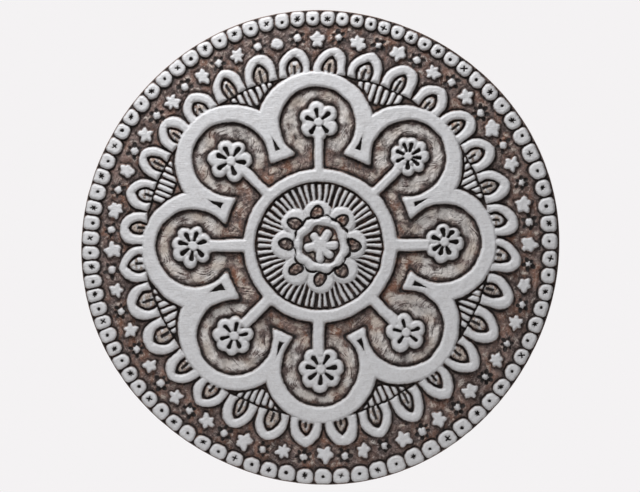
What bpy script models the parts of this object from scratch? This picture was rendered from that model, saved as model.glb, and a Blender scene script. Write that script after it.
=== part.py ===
"""A round ceramic wall tile carved with a mandala in low relief, cast as one solid.

The tile is modelled lying face up: local X is to the right, local Y is up the wall and
local Z is out of the wall, with the origin at the middle of the flat back. It is stood up
at the end, so that it faces -Y with +Z up. Angles run clockwise from the top, as seen
from the front. Lengths are in metres.
"""

import math

import bmesh
import bpy

MM = 0.001

# The blank
TILE_RADIUS = 180 * MM
BODY_THICKNESS = 13 * MM
RIM_CHAMFER = 0.9 * MM
RIM_POINTS = 60
# Waves of the hand-cut outline: crests round the rim, reach, and degrees to the first crest
RIM_WAVES = ((2, 0.66 * MM, 86), (3, 0.35 * MM, 44), (4, 0.88 * MM, -14))
# How far the relief's solids reach down into the blank
RELIEF_ROOT = 4 * MM
# Points of an outline nearer to each other than this are one
WELD_DISTANCE = 0.001 * MM

# The carver's hand: the hub sits a little off the middle, and each lobe, clockwise from the
# top one, is carved further out or in, and further round, than an even division would have it
HUB_RIGHT = -0.9 * MM
HUB_UP = 0.9 * MM
LOBE_SHIFTS = (
    0.5 * MM,
    0.7 * MM,
    -1.2 * MM,
    -4.6 * MM,
    -1.2 * MM,
    0.2 * MM,
    3.2 * MM,
    2.8 * MM,
)
LOBE_TURNS = [math.radians(turn) for turn in (-2.0, -1.5, -2.4, -0.6, 0.1, -1.1, 1.4, -1.0)]
UNEVEN_FROM_RADIUS = 50 * MM
UNEVEN_FULL_RADIUS = 90 * MM
UNEVEN_TO_RADIUS = 165 * MM

# The nail pocket in the back, drilled sloping upwards
POCKET_RADIUS = 5.5 * MM
POCKET_DEPTH = 7 * MM
POCKET_SLOPE = math.radians(20)
POCKET_FROM_TOP = 40 * MM
POCKET_SIDES = 20

# The border of beads
BEADS = 86
BEAD_RELIEF = 2.6 * MM
BEAD_BREADTH = 12 * MM
BEAD_INNER_RADIUS = TILE_RADIUS - BEAD_BREADTH
BEAD_MARGIN = 1.2 * MM
BEAD_GAP = 1.3 * MM
BEAD_CORNER = 3.2 * MM
FIRST_BEAD = math.radians(5.7)
# Waves in the spacing: crests round the border, reach in degrees, degrees to the first crest
BEAD_WAVES = ((1, 5.15, -144), (2, 1.4, 4), (3, 1.3, -26), (4, 0.4, -18), (5, 0.4, 6))

# The ring of stars and dots, this far inside the beads
STARS = 32
STAR_RELIEF = 2.0 * MM
STAR_INSET = 10.7 * MM
STAR_RING_RADIUS = BEAD_INNER_RADIUS - STAR_INSET
STAR_TIP = 5.6 * MM
STAR_NOTCH = 3.5 * MM
STAR_POINTS = 5
STAR_TURN = math.radians(29)
FIRST_STAR = math.radians(-0.9)
DOT_INSET = 9 * MM
DOT_RING_RADIUS = BEAD_INNER_RADIUS - DOT_INSET
DOT_RADIUS = 2.5 * MM
DOT_SIDES = 4

# The eight-lobed band and the tails between its lobes
LOBES = 8
LOBE_ANGLE = 2 * math.pi / LOBES
BAND_RELIEF = 3.5 * MM
BAND_TIP_RADIUS = 133.3 * MM
BAND_NOTCH_DEPTH = 22.4 * MM
BAND_NOTCH_RADIUS = BAND_TIP_RADIUS - BAND_NOTCH_DEPTH
BAND_ARC_POINTS = 10
# The band's breadth between the tip of a lobe and its court
BAND_BREADTH = 10.5 * MM
COURT_RADIUS = 28.7 * MM
COURT_CENTRE_RADIUS = BAND_TIP_RADIUS - BAND_BREADTH - COURT_RADIUS
# Half the angle, about a court's centre, by which its outline stays open towards the hub
COURT_MOUTH = math.radians(31.4)
COURT_ARC_STEPS = 12
# A slit starts this far inside the circle of the courts' centres
SLIT_INSET = 5.5 * MM
SLIT_LENGTH = 9.9 * MM
SLIT_TIP_RADIUS = COURT_CENTRE_RADIUS - SLIT_INSET
SLIT_BASE_RADIUS = SLIT_TIP_RADIUS - SLIT_LENGTH
SLIT_HALF_WIDTH = 1.9 * MM
SLIT_DEPTH = 2.5 * MM

# The fringe of petals, each below a dot: a straight foot that starts under the band's tips,
# and a pointed arch over it
PETAL_RELIEF = 2.8 * MM
PETAL_OVERLAP = 3.5 * MM
PETAL_FOOT_HEIGHT = 8 * MM
PETAL_ARCH_HEIGHT = 14.2 * MM
PETAL_FOOT_RADIUS = BAND_TIP_RADIUS - PETAL_OVERLAP
PETAL_WIDEST_RADIUS = PETAL_FOOT_RADIUS + PETAL_FOOT_HEIGHT
PETAL_TIP_RADIUS = PETAL_WIDEST_RADIUS + PETAL_ARCH_HEIGHT
PETAL_GAP = 1.5 * MM
PETAL_HALF_WIDTH = math.pi * PETAL_FOOT_RADIUS / STARS - PETAL_GAP / 2
PETAL_WALL = 6.4 * MM
PETAL_TIP_WALL = 7.8 * MM
PETAL_POINTEDNESS = 0.8

# The hatched wedges outside the notches of the band
WEDGE_BARS = 7
WEDGE_RELIEF = 2.0 * MM
WEDGE_INSET = 5.0 * MM
WEDGE_OUTER_RADIUS = BAND_TIP_RADIUS - WEDGE_INSET
WEDGE_PITCH = math.radians(2.3)
WEDGE_BAR_WIDTH = 3.2 * MM
# How far the bars run in under the band
WEDGE_ROOT = 2 * MM

# The hub ring, with a spoke to each rosette
HUB_RELIEF = 3.5 * MM
HUB_OUTER_RADIUS = 59.1 * MM
HUB_BREADTH = 10.9 * MM
HUB_INNER_RADIUS = HUB_OUTER_RADIUS - HUB_BREADTH
HUB_POINTS = 32
# A spoke ends this far short of its rosette's middle, under the rosette
SPOKE_SHORT = 10.1 * MM
SPOKE_END_RADIUS = COURT_CENTRE_RADIUS - SPOKE_SHORT
SPOKE_WIDTHS = (
    7.2 * MM,
    7.3 * MM,
    9.5 * MM,
    8.8 * MM,
    9.4 * MM,
    8.7 * MM,
    10.1 * MM,
    7.5 * MM,
)
ROSETTE_RELIEF = 3.2 * MM
ROSETTE_RADII = (
    14.6 * MM,
    14.8 * MM,
    15.4 * MM,
    15.0 * MM,
    16.4 * MM,
    15.0 * MM,
    15.4 * MM,
    15.9 * MM,
)
ROSETTE_NOTCH_DEPTH = 2.2 * MM
ROSETTE_ARC_POINTS = 3
ROSETTE_LOBE_COUNTS = (7, 9, 8, 5, 7, 7, 8, 8)

# The medallion: two scalloped tiers, a sunk middle and a flower
MEDALLION_RELIEF = 2.6 * MM
MEDALLION_TIP_RADIUS = 35.8 * MM
MEDALLION_NOTCH_DEPTH = 6.2 * MM
MEDALLION_NOTCH_RADIUS = MEDALLION_TIP_RADIUS - MEDALLION_NOTCH_DEPTH
MEDALLION_ARC_POINTS = 4
TIER_RIGHT = 1.2 * MM
TIER_UP = 0.7 * MM
TIER_RELIEF = 3.6 * MM
TIER_TIP_RADIUS = 21.8 * MM
TIER_NOTCH_DEPTH = 1.9 * MM
TIER_NOTCH_RADIUS = TIER_TIP_RADIUS - TIER_NOTCH_DEPTH
TIER_LOBES = 9
TIER_ARC_POINTS = 3
# The eyes start under the tier and end this far inside the medallion's tips
EYE_OVERLAP = 0.4 * MM
EYE_MARGIN = 6.4 * MM
EYE_POINT = 2.6 * MM
EYE_INNER_RADIUS = TIER_NOTCH_RADIUS - EYE_OVERLAP
EYE_TIP_RADIUS = MEDALLION_TIP_RADIUS - EYE_MARGIN
EYE_SHOULDER_RADIUS = EYE_TIP_RADIUS - EYE_POINT
EYE_HALF_WIDTH = 5.1 * MM
EYE_DEPTH = 2.0 * MM
TIER_WALL = 5.6 * MM
MIDDLE_RADIUS = TIER_NOTCH_RADIUS - TIER_WALL
MIDDLE_SIDES = 16
MIDDLE_RELIEF = 1.2 * MM
FLOWER_RELIEF = 3.3 * MM
FLOWER_ANGLES = [math.radians(angle) for angle in (-24, 32, 90, 135, 183, 260)]
FLOWER_CLEARANCE = 1.3 * MM
FLOWER_TIP = MIDDLE_RADIUS - FLOWER_CLEARANCE
FLOWER_NOTCH = 5.0 * MM
FLOWER_PETAL_WIDTH = 5.4 * MM

# The rays, from under the medallion's edge to a gap inside the hub ring
RAYS = 56
RAY_RELIEF = 1.6 * MM
RAY_OVERLAP = 1.6 * MM
RAY_ROOT_RADIUS = MEDALLION_NOTCH_RADIUS - RAY_OVERLAP
RAY_CLEARANCE = 1.6 * MM
RAY_OUTER_RADIUS = HUB_INNER_RADIUS - RAY_CLEARANCE
RAY_ROOT_WIDTH = 1.9 * MM
RAY_WIDTH = 3.1 * MM

WHITE_GLAZE = (0.58, 0.58, 0.60, 1)


def polar(radius, angle):
    """The point at this radius, this far clockwise from the top."""
    return radius * math.sin(angle), radius * math.cos(angle)


def framed(along, out, angle):
    """The point that lies out from the middle and along clockwise, in the frame at an angle."""
    return (
        out * math.sin(angle) + along * math.cos(angle),
        out * math.cos(angle) - along * math.sin(angle),
    )


def eased(value, start, end):
    """Rises smoothly from 0 to 1 as the value goes from start to end."""
    part = min(max((value - start) / (end - start), 0), 1)
    return part * part * (3 - 2 * part)


def between_lobes(values, angle):
    """The value at an angle, eased from each lobe's own value to the next one's."""
    place = angle / LOBE_ANGLE % LOBES
    lobe = int(place)
    part = eased(place - lobe, 0, 1)
    return values[lobe] * (1 - part) + values[(lobe + 1) % LOBES] * part


def as_carved(points):
    """Moves evenly drawn points to where the carver's hand put them."""
    carved = []
    for x, y in points:
        radius = math.hypot(x, y)
        angle = math.atan2(x, y)
        out = eased(radius, UNEVEN_FROM_RADIUS, UNEVEN_FULL_RADIUS)
        share = out * eased(radius, UNEVEN_TO_RADIUS, BAND_TIP_RADIUS)
        x, y = polar(
            radius + share * between_lobes(LOBE_SHIFTS, angle),
            angle + share * between_lobes(LOBE_TURNS, angle),
        )
        carved.append((x + (1 - out) * HUB_RIGHT, y + (1 - out) * HUB_UP))
    return carved


def moved(points, centre):
    """Points shifted to a centre."""
    return [(x + centre[0], y + centre[1]) for x, y in points]


def rim_radius(angle):
    """The blank's radius at an angle: a circle with a few shallow waves."""
    waves = sum(
        reach * math.cos(crests * (angle - math.radians(crest)))
        for crests, reach, crest in RIM_WAVES
    )
    return TILE_RADIUS + waves


def lobe_arc(lobes, tip_radius, notch_radius):
    """How far out the arc of a lobe is centred, and its radius, from its tip and its notches."""
    notch_y = notch_radius * math.cos(math.pi / lobes)
    centre = (tip_radius**2 - notch_radius**2) / (2 * (tip_radius - notch_y))
    return centre, tip_radius - centre


def scalloped(lobes, tip_radius, notch_radius, arc_points):
    """A closed outline of equal arcs that bulge to the tip radius and meet at the notch radius."""
    centre, arc_radius = lobe_arc(lobes, tip_radius, notch_radius)
    notch_x, notch_y = polar(notch_radius, math.pi / lobes)
    sweep = math.atan2(notch_x, notch_y - centre)
    outline = []
    for lobe in range(lobes):
        for step in range(arc_points):
            swing = sweep * (2 * step / arc_points - 1)
            x, y = polar(arc_radius, swing)
            outline.append(framed(x, centre + y, 2 * math.pi * lobe / lobes))
    return outline


def outline_object(name, outlines, low, high, bevel=0.0):
    """A mesh object whose flat outlines, nested ones as holes, are raised from low to high."""
    curve = bpy.data.curves.new(name, "CURVE")
    curve.dimensions = "2D"
    curve.fill_mode = "BOTH"
    curve.extrude = (high - low) / 2 - bevel
    curve.bevel_depth = bevel
    curve.bevel_resolution = 0
    curve.offset = -bevel
    for outline in outlines:
        spline = curve.splines.new("POLY")
        spline.points.add(len(outline) - 1)
        spline.use_cyclic_u = True
        for point, (x, y) in zip(spline.points, outline):
            point.co = (x, y, 0, 1)
    source = bpy.data.objects.new(f"{name}_outline", curve)
    source.location.z = (low + high) / 2
    bpy.context.scene.collection.objects.link(source)
    depsgraph = bpy.context.evaluated_depsgraph_get()
    mesh = bpy.data.meshes.new_from_object(source.evaluated_get(depsgraph))
    mesh.transform(source.matrix_world)
    weld(mesh)
    bpy.data.objects.remove(source)
    return bpy.data.objects.new(name, mesh)


def weld(mesh):
    """Joins a curve's loose caps to its sides, and turns all faces outwards."""
    work = bmesh.new()
    work.from_mesh(mesh)
    bmesh.ops.remove_doubles(work, verts=work.verts, dist=WELD_DISTANCE)
    bmesh.ops.recalc_face_normals(work, faces=work.faces)
    work.to_mesh(mesh)
    work.free()


def blank():
    """The plain disc with its hand-cut outline and chamfered rim."""
    angles = [2 * math.pi * step / RIM_POINTS for step in range(RIM_POINTS)]
    outline = [polar(rim_radius(angle), angle) for angle in angles]
    return outline_object("ceramic_tile", [outline], 0, BODY_THICKNESS, RIM_CHAMFER)


def bead_gap_angle(bead):
    """The middle of the gap before a bead; the beads are broader in some stretches."""
    even = 2 * math.pi * bead / BEADS
    waves = sum(
        reach * math.cos(crests * (even - math.radians(crest)))
        for crests, reach, crest in BEAD_WAVES
    )
    return FIRST_BEAD + even + math.radians(waves)


def beads():
    """The border's beads: square at the rim, with the corners off at the inner end."""
    outlines = []
    for bead in range(BEADS):
        start = bead_gap_angle(bead)
        end = bead_gap_angle(bead + 1)
        outer_radius = rim_radius((start + end) / 2) - BEAD_MARGIN
        start += BEAD_GAP / 2 / outer_radius
        end -= BEAD_GAP / 2 / outer_radius
        corner = BEAD_CORNER / BEAD_INNER_RADIUS
        outlines.append(
            [
                polar(outer_radius, start),
                polar(outer_radius, end),
                polar(BEAD_INNER_RADIUS + BEAD_CORNER, end),
                polar(BEAD_INNER_RADIUS, end - corner),
                polar(BEAD_INNER_RADIUS, start + corner),
                polar(BEAD_INNER_RADIUS + BEAD_CORNER, start),
            ]
        )
    return outlines


def star_angle(star):
    """Where a star stands on its ring."""
    return FIRST_STAR + 2 * math.pi * star / STARS


def dot_angle(dot):
    """Where a dot stands, midway between two stars, with a petal below it."""
    return star_angle(dot + 0.5)


def stars():
    """The ring's stars, each turned further than the last, and the dots between them."""
    outlines = []
    for star in range(STARS):
        turn = star * STAR_TURN
        points = []
        for step in range(2 * STAR_POINTS):
            reach = STAR_NOTCH if step % 2 else STAR_TIP
            points.append(polar(reach, turn + math.pi * step / STAR_POINTS))
        outlines.append(moved(points, polar(STAR_RING_RADIUS, star_angle(star))))
        dot = [
            polar(DOT_RADIUS, 2 * math.pi * side / DOT_SIDES)
            for side in range(DOT_SIDES)
        ]
        outlines.append(moved(dot, polar(DOT_RING_RADIUS, dot_angle(star))))
    return outlines


def ogive(half_width, widest_radius, tip_radius, angle, rises):
    """One side and then the other of a pointed arch, up over its tip, as points in the plane."""
    left, right = [], []
    for rise in rises:
        out = widest_radius + rise * (tip_radius - widest_radius)
        along = half_width * (1 - rise**2) ** PETAL_POINTEDNESS
        left.append(framed(-along, out, angle))
        right.append(framed(along, out, angle))
    return left + [framed(0, tip_radius, angle)] + right[::-1]


def petals():
    """The fringe: pointed arches whose open feet run in under the band."""
    outlines = []
    inner_half_width = PETAL_HALF_WIDTH - PETAL_WALL
    inner_tip_radius = PETAL_TIP_RADIUS - PETAL_TIP_WALL
    for petal in range(STARS):
        angle = dot_angle(petal)
        outer = ogive(
            PETAL_HALF_WIDTH,
            PETAL_WIDEST_RADIUS,
            PETAL_TIP_RADIUS,
            angle,
            (0, 0.65),
        )
        inner = ogive(inner_half_width, PETAL_WIDEST_RADIUS, inner_tip_radius, angle, (0,))
        feet = [
            framed(along, PETAL_FOOT_RADIUS, angle)
            for along in (
                -PETAL_HALF_WIDTH,
                PETAL_HALF_WIDTH,
                inner_half_width,
                -inner_half_width,
            )
        ]
        arch = [feet[0]] + outer + feet[1:3] + inner[::-1] + feet[3:]
        outlines.append(as_carved(arch))
    return outlines


def courts():
    """The band's inner outline: a horseshoe in each lobe, joined across the tails between."""
    outline = []
    for lobe in range(LOBES):
        for step in range(COURT_ARC_STEPS + 1):
            swing = (math.pi - COURT_MOUTH) * (2 * step / COURT_ARC_STEPS - 1)
            x, y = polar(COURT_RADIUS, swing)
            outline.append(framed(x, COURT_CENTRE_RADIUS + y, lobe * LOBE_ANGLE))
    return outline


def band():
    """The lobed band, from its scalloped outside to the courts inside."""
    outside = scalloped(LOBES, BAND_TIP_RADIUS, BAND_NOTCH_RADIUS, BAND_ARC_POINTS)
    return [as_carved(outside), as_carved(courts())]


def tail_slits():
    """The narrow triangle cut in each tail."""
    outlines = []
    for lobe in range(LOBES):
        angle = (lobe + 0.5) * LOBE_ANGLE
        corners = (
            (0, SLIT_TIP_RADIUS),
            (SLIT_HALF_WIDTH, SLIT_BASE_RADIUS),
            (-SLIT_HALF_WIDTH, SLIT_BASE_RADIUS),
        )
        outlines.append(
            as_carved([framed(along, out, angle) for along, out in corners])
        )
    return outlines


def bar(angle, inner_radius, outer_radius, inner_width, outer_width):
    """A radial bar, which may widen as it goes out."""
    corners = (
        (-inner_width / 2, inner_radius),
        (-outer_width / 2, outer_radius),
        (outer_width / 2, outer_radius),
        (inner_width / 2, inner_radius),
    )
    return as_carved([framed(along, out, angle) for along, out in corners])


def wedge_bars():
    """The bars that fill the wedges between the lobes, rooted in the band."""
    arc_centre, arc_radius = lobe_arc(LOBES, BAND_TIP_RADIUS, BAND_NOTCH_RADIUS)
    outlines = []
    for lobe in range(LOBES):
        for step in range(WEDGE_BARS):
            offset = (step - (WEDGE_BARS - 1) / 2) * WEDGE_PITCH
            from_lobe = LOBE_ANGLE / 2 - abs(offset)
            band_radius = arc_centre * math.cos(from_lobe) + math.sqrt(
                arc_radius**2 - (arc_centre * math.sin(from_lobe)) ** 2
            )
            outlines.append(
                bar(
                    (lobe + 0.5) * LOBE_ANGLE + offset,
                    band_radius - WEDGE_ROOT,
                    WEDGE_OUTER_RADIUS,
                    WEDGE_BAR_WIDTH,
                    WEDGE_BAR_WIDTH,
                )
            )
    return outlines


def rays():
    """The rays round the medallion, which run in under its edge."""
    return [
        bar(
            2 * math.pi * ray / RAYS,
            RAY_ROOT_RADIUS,
            RAY_OUTER_RADIUS,
            RAY_ROOT_WIDTH,
            RAY_WIDTH,
        )
        for ray in range(RAYS)
    ]


def hub():
    """The hub ring with its eight spokes, which end under the rosettes."""
    outside = []
    arc_steps = HUB_POINTS // LOBES
    for lobe, width in enumerate(SPOKE_WIDTHS):
        angle = lobe * LOBE_ANGLE
        foot = math.sqrt(HUB_OUTER_RADIUS**2 - (width / 2) ** 2)
        outside += [
            framed(-width / 2, foot, angle),
            framed(-width / 2, SPOKE_END_RADIUS, angle),
            framed(width / 2, SPOKE_END_RADIUS, angle),
            framed(width / 2, foot, angle),
        ]
        outside += [
            polar(HUB_OUTER_RADIUS, angle + LOBE_ANGLE * step / arc_steps)
            for step in range(1, arc_steps)
        ]
    inside = [
        polar(HUB_INNER_RADIUS, 2 * math.pi * step / HUB_POINTS)
        for step in range(HUB_POINTS)
    ]
    return [as_carved(outside), as_carved(inside)]


def rosettes():
    """The flower at the end of each spoke."""
    outlines = []
    for lobe, (lobe_count, radius) in enumerate(
        zip(ROSETTE_LOBE_COUNTS, ROSETTE_RADII)
    ):
        flower = scalloped(
            lobe_count, radius, radius - ROSETTE_NOTCH_DEPTH, ROSETTE_ARC_POINTS
        )
        centre = polar(COURT_CENTRE_RADIUS, lobe * LOBE_ANGLE)
        outlines.append(as_carved(moved(flower, centre)))
    return outlines


def medallion():
    """The medallion's scalloped outline."""
    outline = scalloped(
        LOBES, MEDALLION_TIP_RADIUS, MEDALLION_NOTCH_RADIUS, MEDALLION_ARC_POINTS
    )
    return [as_carved(outline)]


def medallion_eyes():
    """The sunk eye in each lobe of the medallion."""
    outlines = []
    for lobe in range(LOBES):
        angle = lobe * LOBE_ANGLE
        corners = (
            (-EYE_HALF_WIDTH, EYE_INNER_RADIUS),
            (-EYE_HALF_WIDTH, EYE_SHOULDER_RADIUS),
            (0, EYE_TIP_RADIUS),
            (EYE_HALF_WIDTH, EYE_SHOULDER_RADIUS),
            (EYE_HALF_WIDTH, EYE_INNER_RADIUS),
        )
        outlines.append(
            as_carved([framed(along, out, angle) for along, out in corners])
        )
    return outlines


def flower():
    """The flower in the sunk middle, with finger-like petals."""
    outline = []
    half = FLOWER_PETAL_WIDTH / 2
    after = FLOWER_ANGLES[1:] + [FLOWER_ANGLES[0] + 2 * math.pi]
    for angle, next_angle in zip(FLOWER_ANGLES, after):
        outline += [
            framed(-half, FLOWER_TIP - half, angle),
            framed(0, FLOWER_TIP, angle),
            framed(half, FLOWER_TIP - half, angle),
            polar(FLOWER_NOTCH, (angle + next_angle) / 2),
        ]
    return [as_carved(outline)]


def nail_pocket():
    """The cutter of the blind hole in the back, whose axis climbs as it goes in."""
    length = 2 * POCKET_DEPTH / math.cos(POCKET_SLOPE)
    work = bmesh.new()
    bmesh.ops.create_cone(
        work,
        cap_ends=True,
        segments=POCKET_SIDES,
        radius1=POCKET_RADIUS,
        radius2=POCKET_RADIUS,
        depth=length,
    )
    mesh = bpy.data.meshes.new("nail_pocket")
    work.to_mesh(mesh)
    work.free()
    cutter = bpy.data.objects.new("nail_pocket", mesh)
    cutter.rotation_euler.x = -POCKET_SLOPE
    cutter.location.y = TILE_RADIUS - POCKET_FROM_TOP
    return cutter


def in_collection(name, shapes):
    """Puts objects in a new collection."""
    collection = bpy.data.collections.new(name)
    bpy.context.scene.collection.children.link(collection)
    for shape in shapes:
        collection.objects.link(shape)


def glaze():
    """The pale satin glaze of the raised work."""
    material = bpy.data.materials.new("white_glaze")
    material.use_nodes = True
    shader = material.node_tree.nodes["Principled BSDF"]
    shader.inputs["Base Color"].default_value = WHITE_GLAZE
    shader.inputs["Roughness"].default_value = 0.5
    shader.inputs["Metallic"].default_value = 0
    return material


def main():
    """Builds the tile from its blank, the raised families and the cuts."""
    for old in list(bpy.data.objects):
        bpy.data.objects.remove(old)

    tile = blank()
    ground = BODY_THICKNESS
    raised = (
        ("bead_border", beads(), BEAD_RELIEF),
        ("star_ring", stars(), STAR_RELIEF),
        ("petal_fringe", petals(), PETAL_RELIEF),
        ("wedge_bars", wedge_bars(), WEDGE_RELIEF),
        ("lobed_band", band(), BAND_RELIEF),
        ("rays", rays(), RAY_RELIEF),
        ("hub", hub(), HUB_RELIEF),
        ("rosettes", rosettes(), ROSETTE_RELIEF),
        ("medallion", medallion(), MEDALLION_RELIEF),
    )
    tier = moved(
        scalloped(TIER_LOBES, TIER_TIP_RADIUS, TIER_NOTCH_RADIUS, TIER_ARC_POINTS),
        (TIER_RIGHT, TIER_UP),
    )
    middle = [
        polar(MIDDLE_RADIUS, 2 * math.pi * side / MIDDLE_SIDES)
        for side in range(MIDDLE_SIDES)
    ]
    steps = [
        (
            "UNION",
            outline_object(name, outlines, ground - RELIEF_ROOT, ground + height),
        )
        for name, outlines, height in raised
    ]
    steps += [
        (
            "DIFFERENCE",
            outline_object(
                "tail_slits",
                tail_slits(),
                ground + BAND_RELIEF - SLIT_DEPTH,
                ground + 2 * BAND_RELIEF,
            ),
        ),
        (
            "DIFFERENCE",
            outline_object(
                "medallion_eyes",
                medallion_eyes(),
                ground + MEDALLION_RELIEF - EYE_DEPTH,
                ground + 2 * MEDALLION_RELIEF,
            ),
        ),
        (
            "UNION",
            outline_object(
                "medallion_tier",
                [as_carved(tier)],
                ground - RELIEF_ROOT,
                ground + TIER_RELIEF,
            ),
        ),
        (
            "DIFFERENCE",
            outline_object(
                "medallion_middle",
                [as_carved(middle)],
                ground + MIDDLE_RELIEF,
                ground + 2 * TIER_RELIEF,
            ),
        ),
        (
            "UNION",
            outline_object(
                "flower", flower(), ground - RELIEF_ROOT, ground + FLOWER_RELIEF
            ),
        ),
        ("DIFFERENCE", nail_pocket()),
    ]
    in_collection("ceramic_tile", [tile])
    in_collection("cutters", [shape for _, shape in steps])
    for operation, shape in steps:
        shape.hide_render = True
        shape.display_type = "WIRE"
        boolean = tile.modifiers.new(shape.name, "BOOLEAN")
        boolean.operation = operation
        boolean.object = shape

    tidy = tile.modifiers.new("tidy", "DECIMATE")
    tidy.decimate_type = "DISSOLVE"
    tidy.angle_limit = math.radians(0.05)

    tile.data.materials.append(glaze())
    # The cutters stand up with the tile, as its children
    for _, shape in steps:
        shape.parent = tile
    tile.rotation_euler.x = math.pi / 2


main()
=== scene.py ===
"""The visual model of a round ceramic wall tile carved with a mandala.

The face is one height function of the place on the tile. Every family of the ornament adds its
own form to it, on drawings that are even, and the carver's hand then moves each place to where
it was really cut. The face is built as rings that fit into each other, on a plain back.
Lengths inside the script are in millimetres until a mesh is made. Angles run clockwise from
the top, as seen from the front.
"""

import logging
import math
from dataclasses import dataclass
from enum import Enum
from typing import ClassVar

import bpy
import numpy as np
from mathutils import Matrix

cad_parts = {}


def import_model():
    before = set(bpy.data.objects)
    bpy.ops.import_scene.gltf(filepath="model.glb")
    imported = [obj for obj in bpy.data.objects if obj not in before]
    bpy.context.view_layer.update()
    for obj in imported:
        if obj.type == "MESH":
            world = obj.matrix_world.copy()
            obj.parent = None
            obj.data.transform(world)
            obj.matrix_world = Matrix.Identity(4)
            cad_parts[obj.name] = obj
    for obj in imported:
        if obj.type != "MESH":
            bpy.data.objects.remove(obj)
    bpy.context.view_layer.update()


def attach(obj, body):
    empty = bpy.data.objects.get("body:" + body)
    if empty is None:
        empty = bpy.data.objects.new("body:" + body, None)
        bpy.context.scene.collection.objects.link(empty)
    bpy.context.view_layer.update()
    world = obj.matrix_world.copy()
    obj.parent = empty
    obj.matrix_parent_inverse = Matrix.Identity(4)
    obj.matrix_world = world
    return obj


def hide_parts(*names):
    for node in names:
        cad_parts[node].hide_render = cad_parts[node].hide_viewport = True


Array = np.ndarray
Colour = tuple[float, float, float, float]

MM = 0.001
TURN = 2 * math.pi
LOBES = 8
LOBE_ANGLE = TURN / LOBES
# The level of the ground on the face, and of the hidden joint between the face and the back
GROUND = 13.0
JOINT = 10.0
# No form stands higher over the ground than this
HIGHEST = 3.6
# The border's ring starts at this radius, which on the back has as many sides as the back plate
BORDER_START = 166.5
BACK_SIDES = 256
# The distance inside a form where there is none
NOWHERE = -40.0

log = logging.getLogger("tile")


# The plane geometry of the drawing


def eased(value: Array | float, start: float, end: float) -> Array:
    """A rise from 0 to 1 as the value goes from start to end: t * t * (3 - 2 * t)."""
    part = np.clip((value - start) / (end - start), 0, 1)
    return part * part * (3 - 2 * part)


def bell(distance: Array, width: float) -> Array:
    """A bump that is 1 at no distance: exp(-(distance / width) ** 2)."""
    return np.exp(-((distance / width) ** 2))


def polar(radius: Array | float, angle: Array | float) -> tuple[Array, Array]:
    """The point to the right and up: radius * sin(angle), radius * cos(angle)."""
    return radius * np.sin(angle), radius * np.cos(angle)


def turned(right: Array, up: Array, heading: Array | float) -> tuple[Array, Array]:
    """How far places are clockwise of the axis at a heading, and how far out along it."""
    sine, cosine = np.sin(heading), np.cos(heading)
    return right * cosine - up * sine, right * sine + up * cosine


def sector(
    radius: Array, angle: Array, count: int, first: float = 0.0
) -> tuple[Array, Array, Array]:
    """Places seen from the nearest of some axes that stand evenly round the middle.

    Args:
        radius: The places' radii.
        angle: Their angles.
        count: How many axes there are.
        first: The first axis's angle.

    Returns:
        The axis's number, how far clockwise of it a place is, and how far out along it.
    """
    number = np.rint((angle - first) * count / TURN)
    across, out = polar(radius, angle - first - number * TURN / count)
    return number.astype(int) % count, across, out


def blended(first: Array, second: Array, reach: float) -> Array:
    """The larger of two distances inside, rounded where they meet.

    Args:
        first: Distance inside one form.
        second: Distance inside the other.
        reach: How far from the meeting line the fillet starts.

    Returns:
        max(first, second) plus reach * h * (1 - h), with h the place between them.
    """
    part = np.clip(0.5 + 0.5 * (first - second) / reach, 0, 1)
    return second + (first - second) * part + reach * part * (1 - part)


def in_stroke(
    right: Array,
    up: Array,
    start: tuple[float, float],
    end: tuple[float, float],
    radii: tuple[float, float],
) -> Array:
    """Distance inside a straight stroke with round ends.

    Args:
        right: Places to the right of the origin.
        up: Places above the origin.
        start: Where the stroke starts.
        end: Where it ends.
        radii: Half its width at the start and at the end.

    Returns:
        The half width at the nearest point of the middle line, less the distance to it.
    """
    run_right, run_up = end[0] - start[0], end[1] - start[1]
    from_right, from_up = right - start[0], up - start[1]
    part = (from_right * run_right + from_up * run_up) / (run_right**2 + run_up**2)
    part = np.clip(part, 0, 1)
    off = np.hypot(from_right - part * run_right, from_up - part * run_up)
    return radii[0] + part * (radii[1] - radii[0]) - off


def in_slab(across: Array, out: Array, half: Array, half_out: Array, corner: Array) -> Array:
    """Distance inside a rectangle with rounded corners.

    Args:
        across: Places across from its middle.
        out: Places outwards from its middle.
        half: Half its width across.
        half_out: Half its length outwards.
        corner: The radius of its corners.

    Returns:
        The corner radius, less the distance from the rectangle that the corners' centres span.
    """
    past = np.abs(across) - (half - corner)
    past_out = np.abs(out) - (half_out - corner)
    beyond = np.hypot(np.maximum(past, 0), np.maximum(past_out, 0))
    return corner - beyond - np.minimum(np.maximum(past, past_out), 0)


def round_lobes(
    right: Array, up: Array, angles: tuple[float, ...], tips: tuple[float, ...], lobe: float
) -> tuple[Array, Array]:
    """Circles that stand round a middle with their far sides at the tips.

    Args:
        right: Places to the right of the middle.
        up: Places above it.
        angles: The circles' angles in degrees.
        tips: From the middle to their far sides.
        lobe: Their radius.

    Returns:
        The distance inside the nearest circle, and how much less it is inside the next one.
    """
    inside = np.full(right.shape, NOWHERE)
    second = inside
    for angle, tip in zip(angles, tips):
        lobe_right, lobe_up = polar(tip - lobe, math.radians(angle))
        circle = lobe - np.hypot(right - lobe_right, up - lobe_up)
        second = np.maximum(second, np.minimum(inside, circle))
        inside = np.maximum(inside, circle)
    return inside, inside - second


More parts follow.
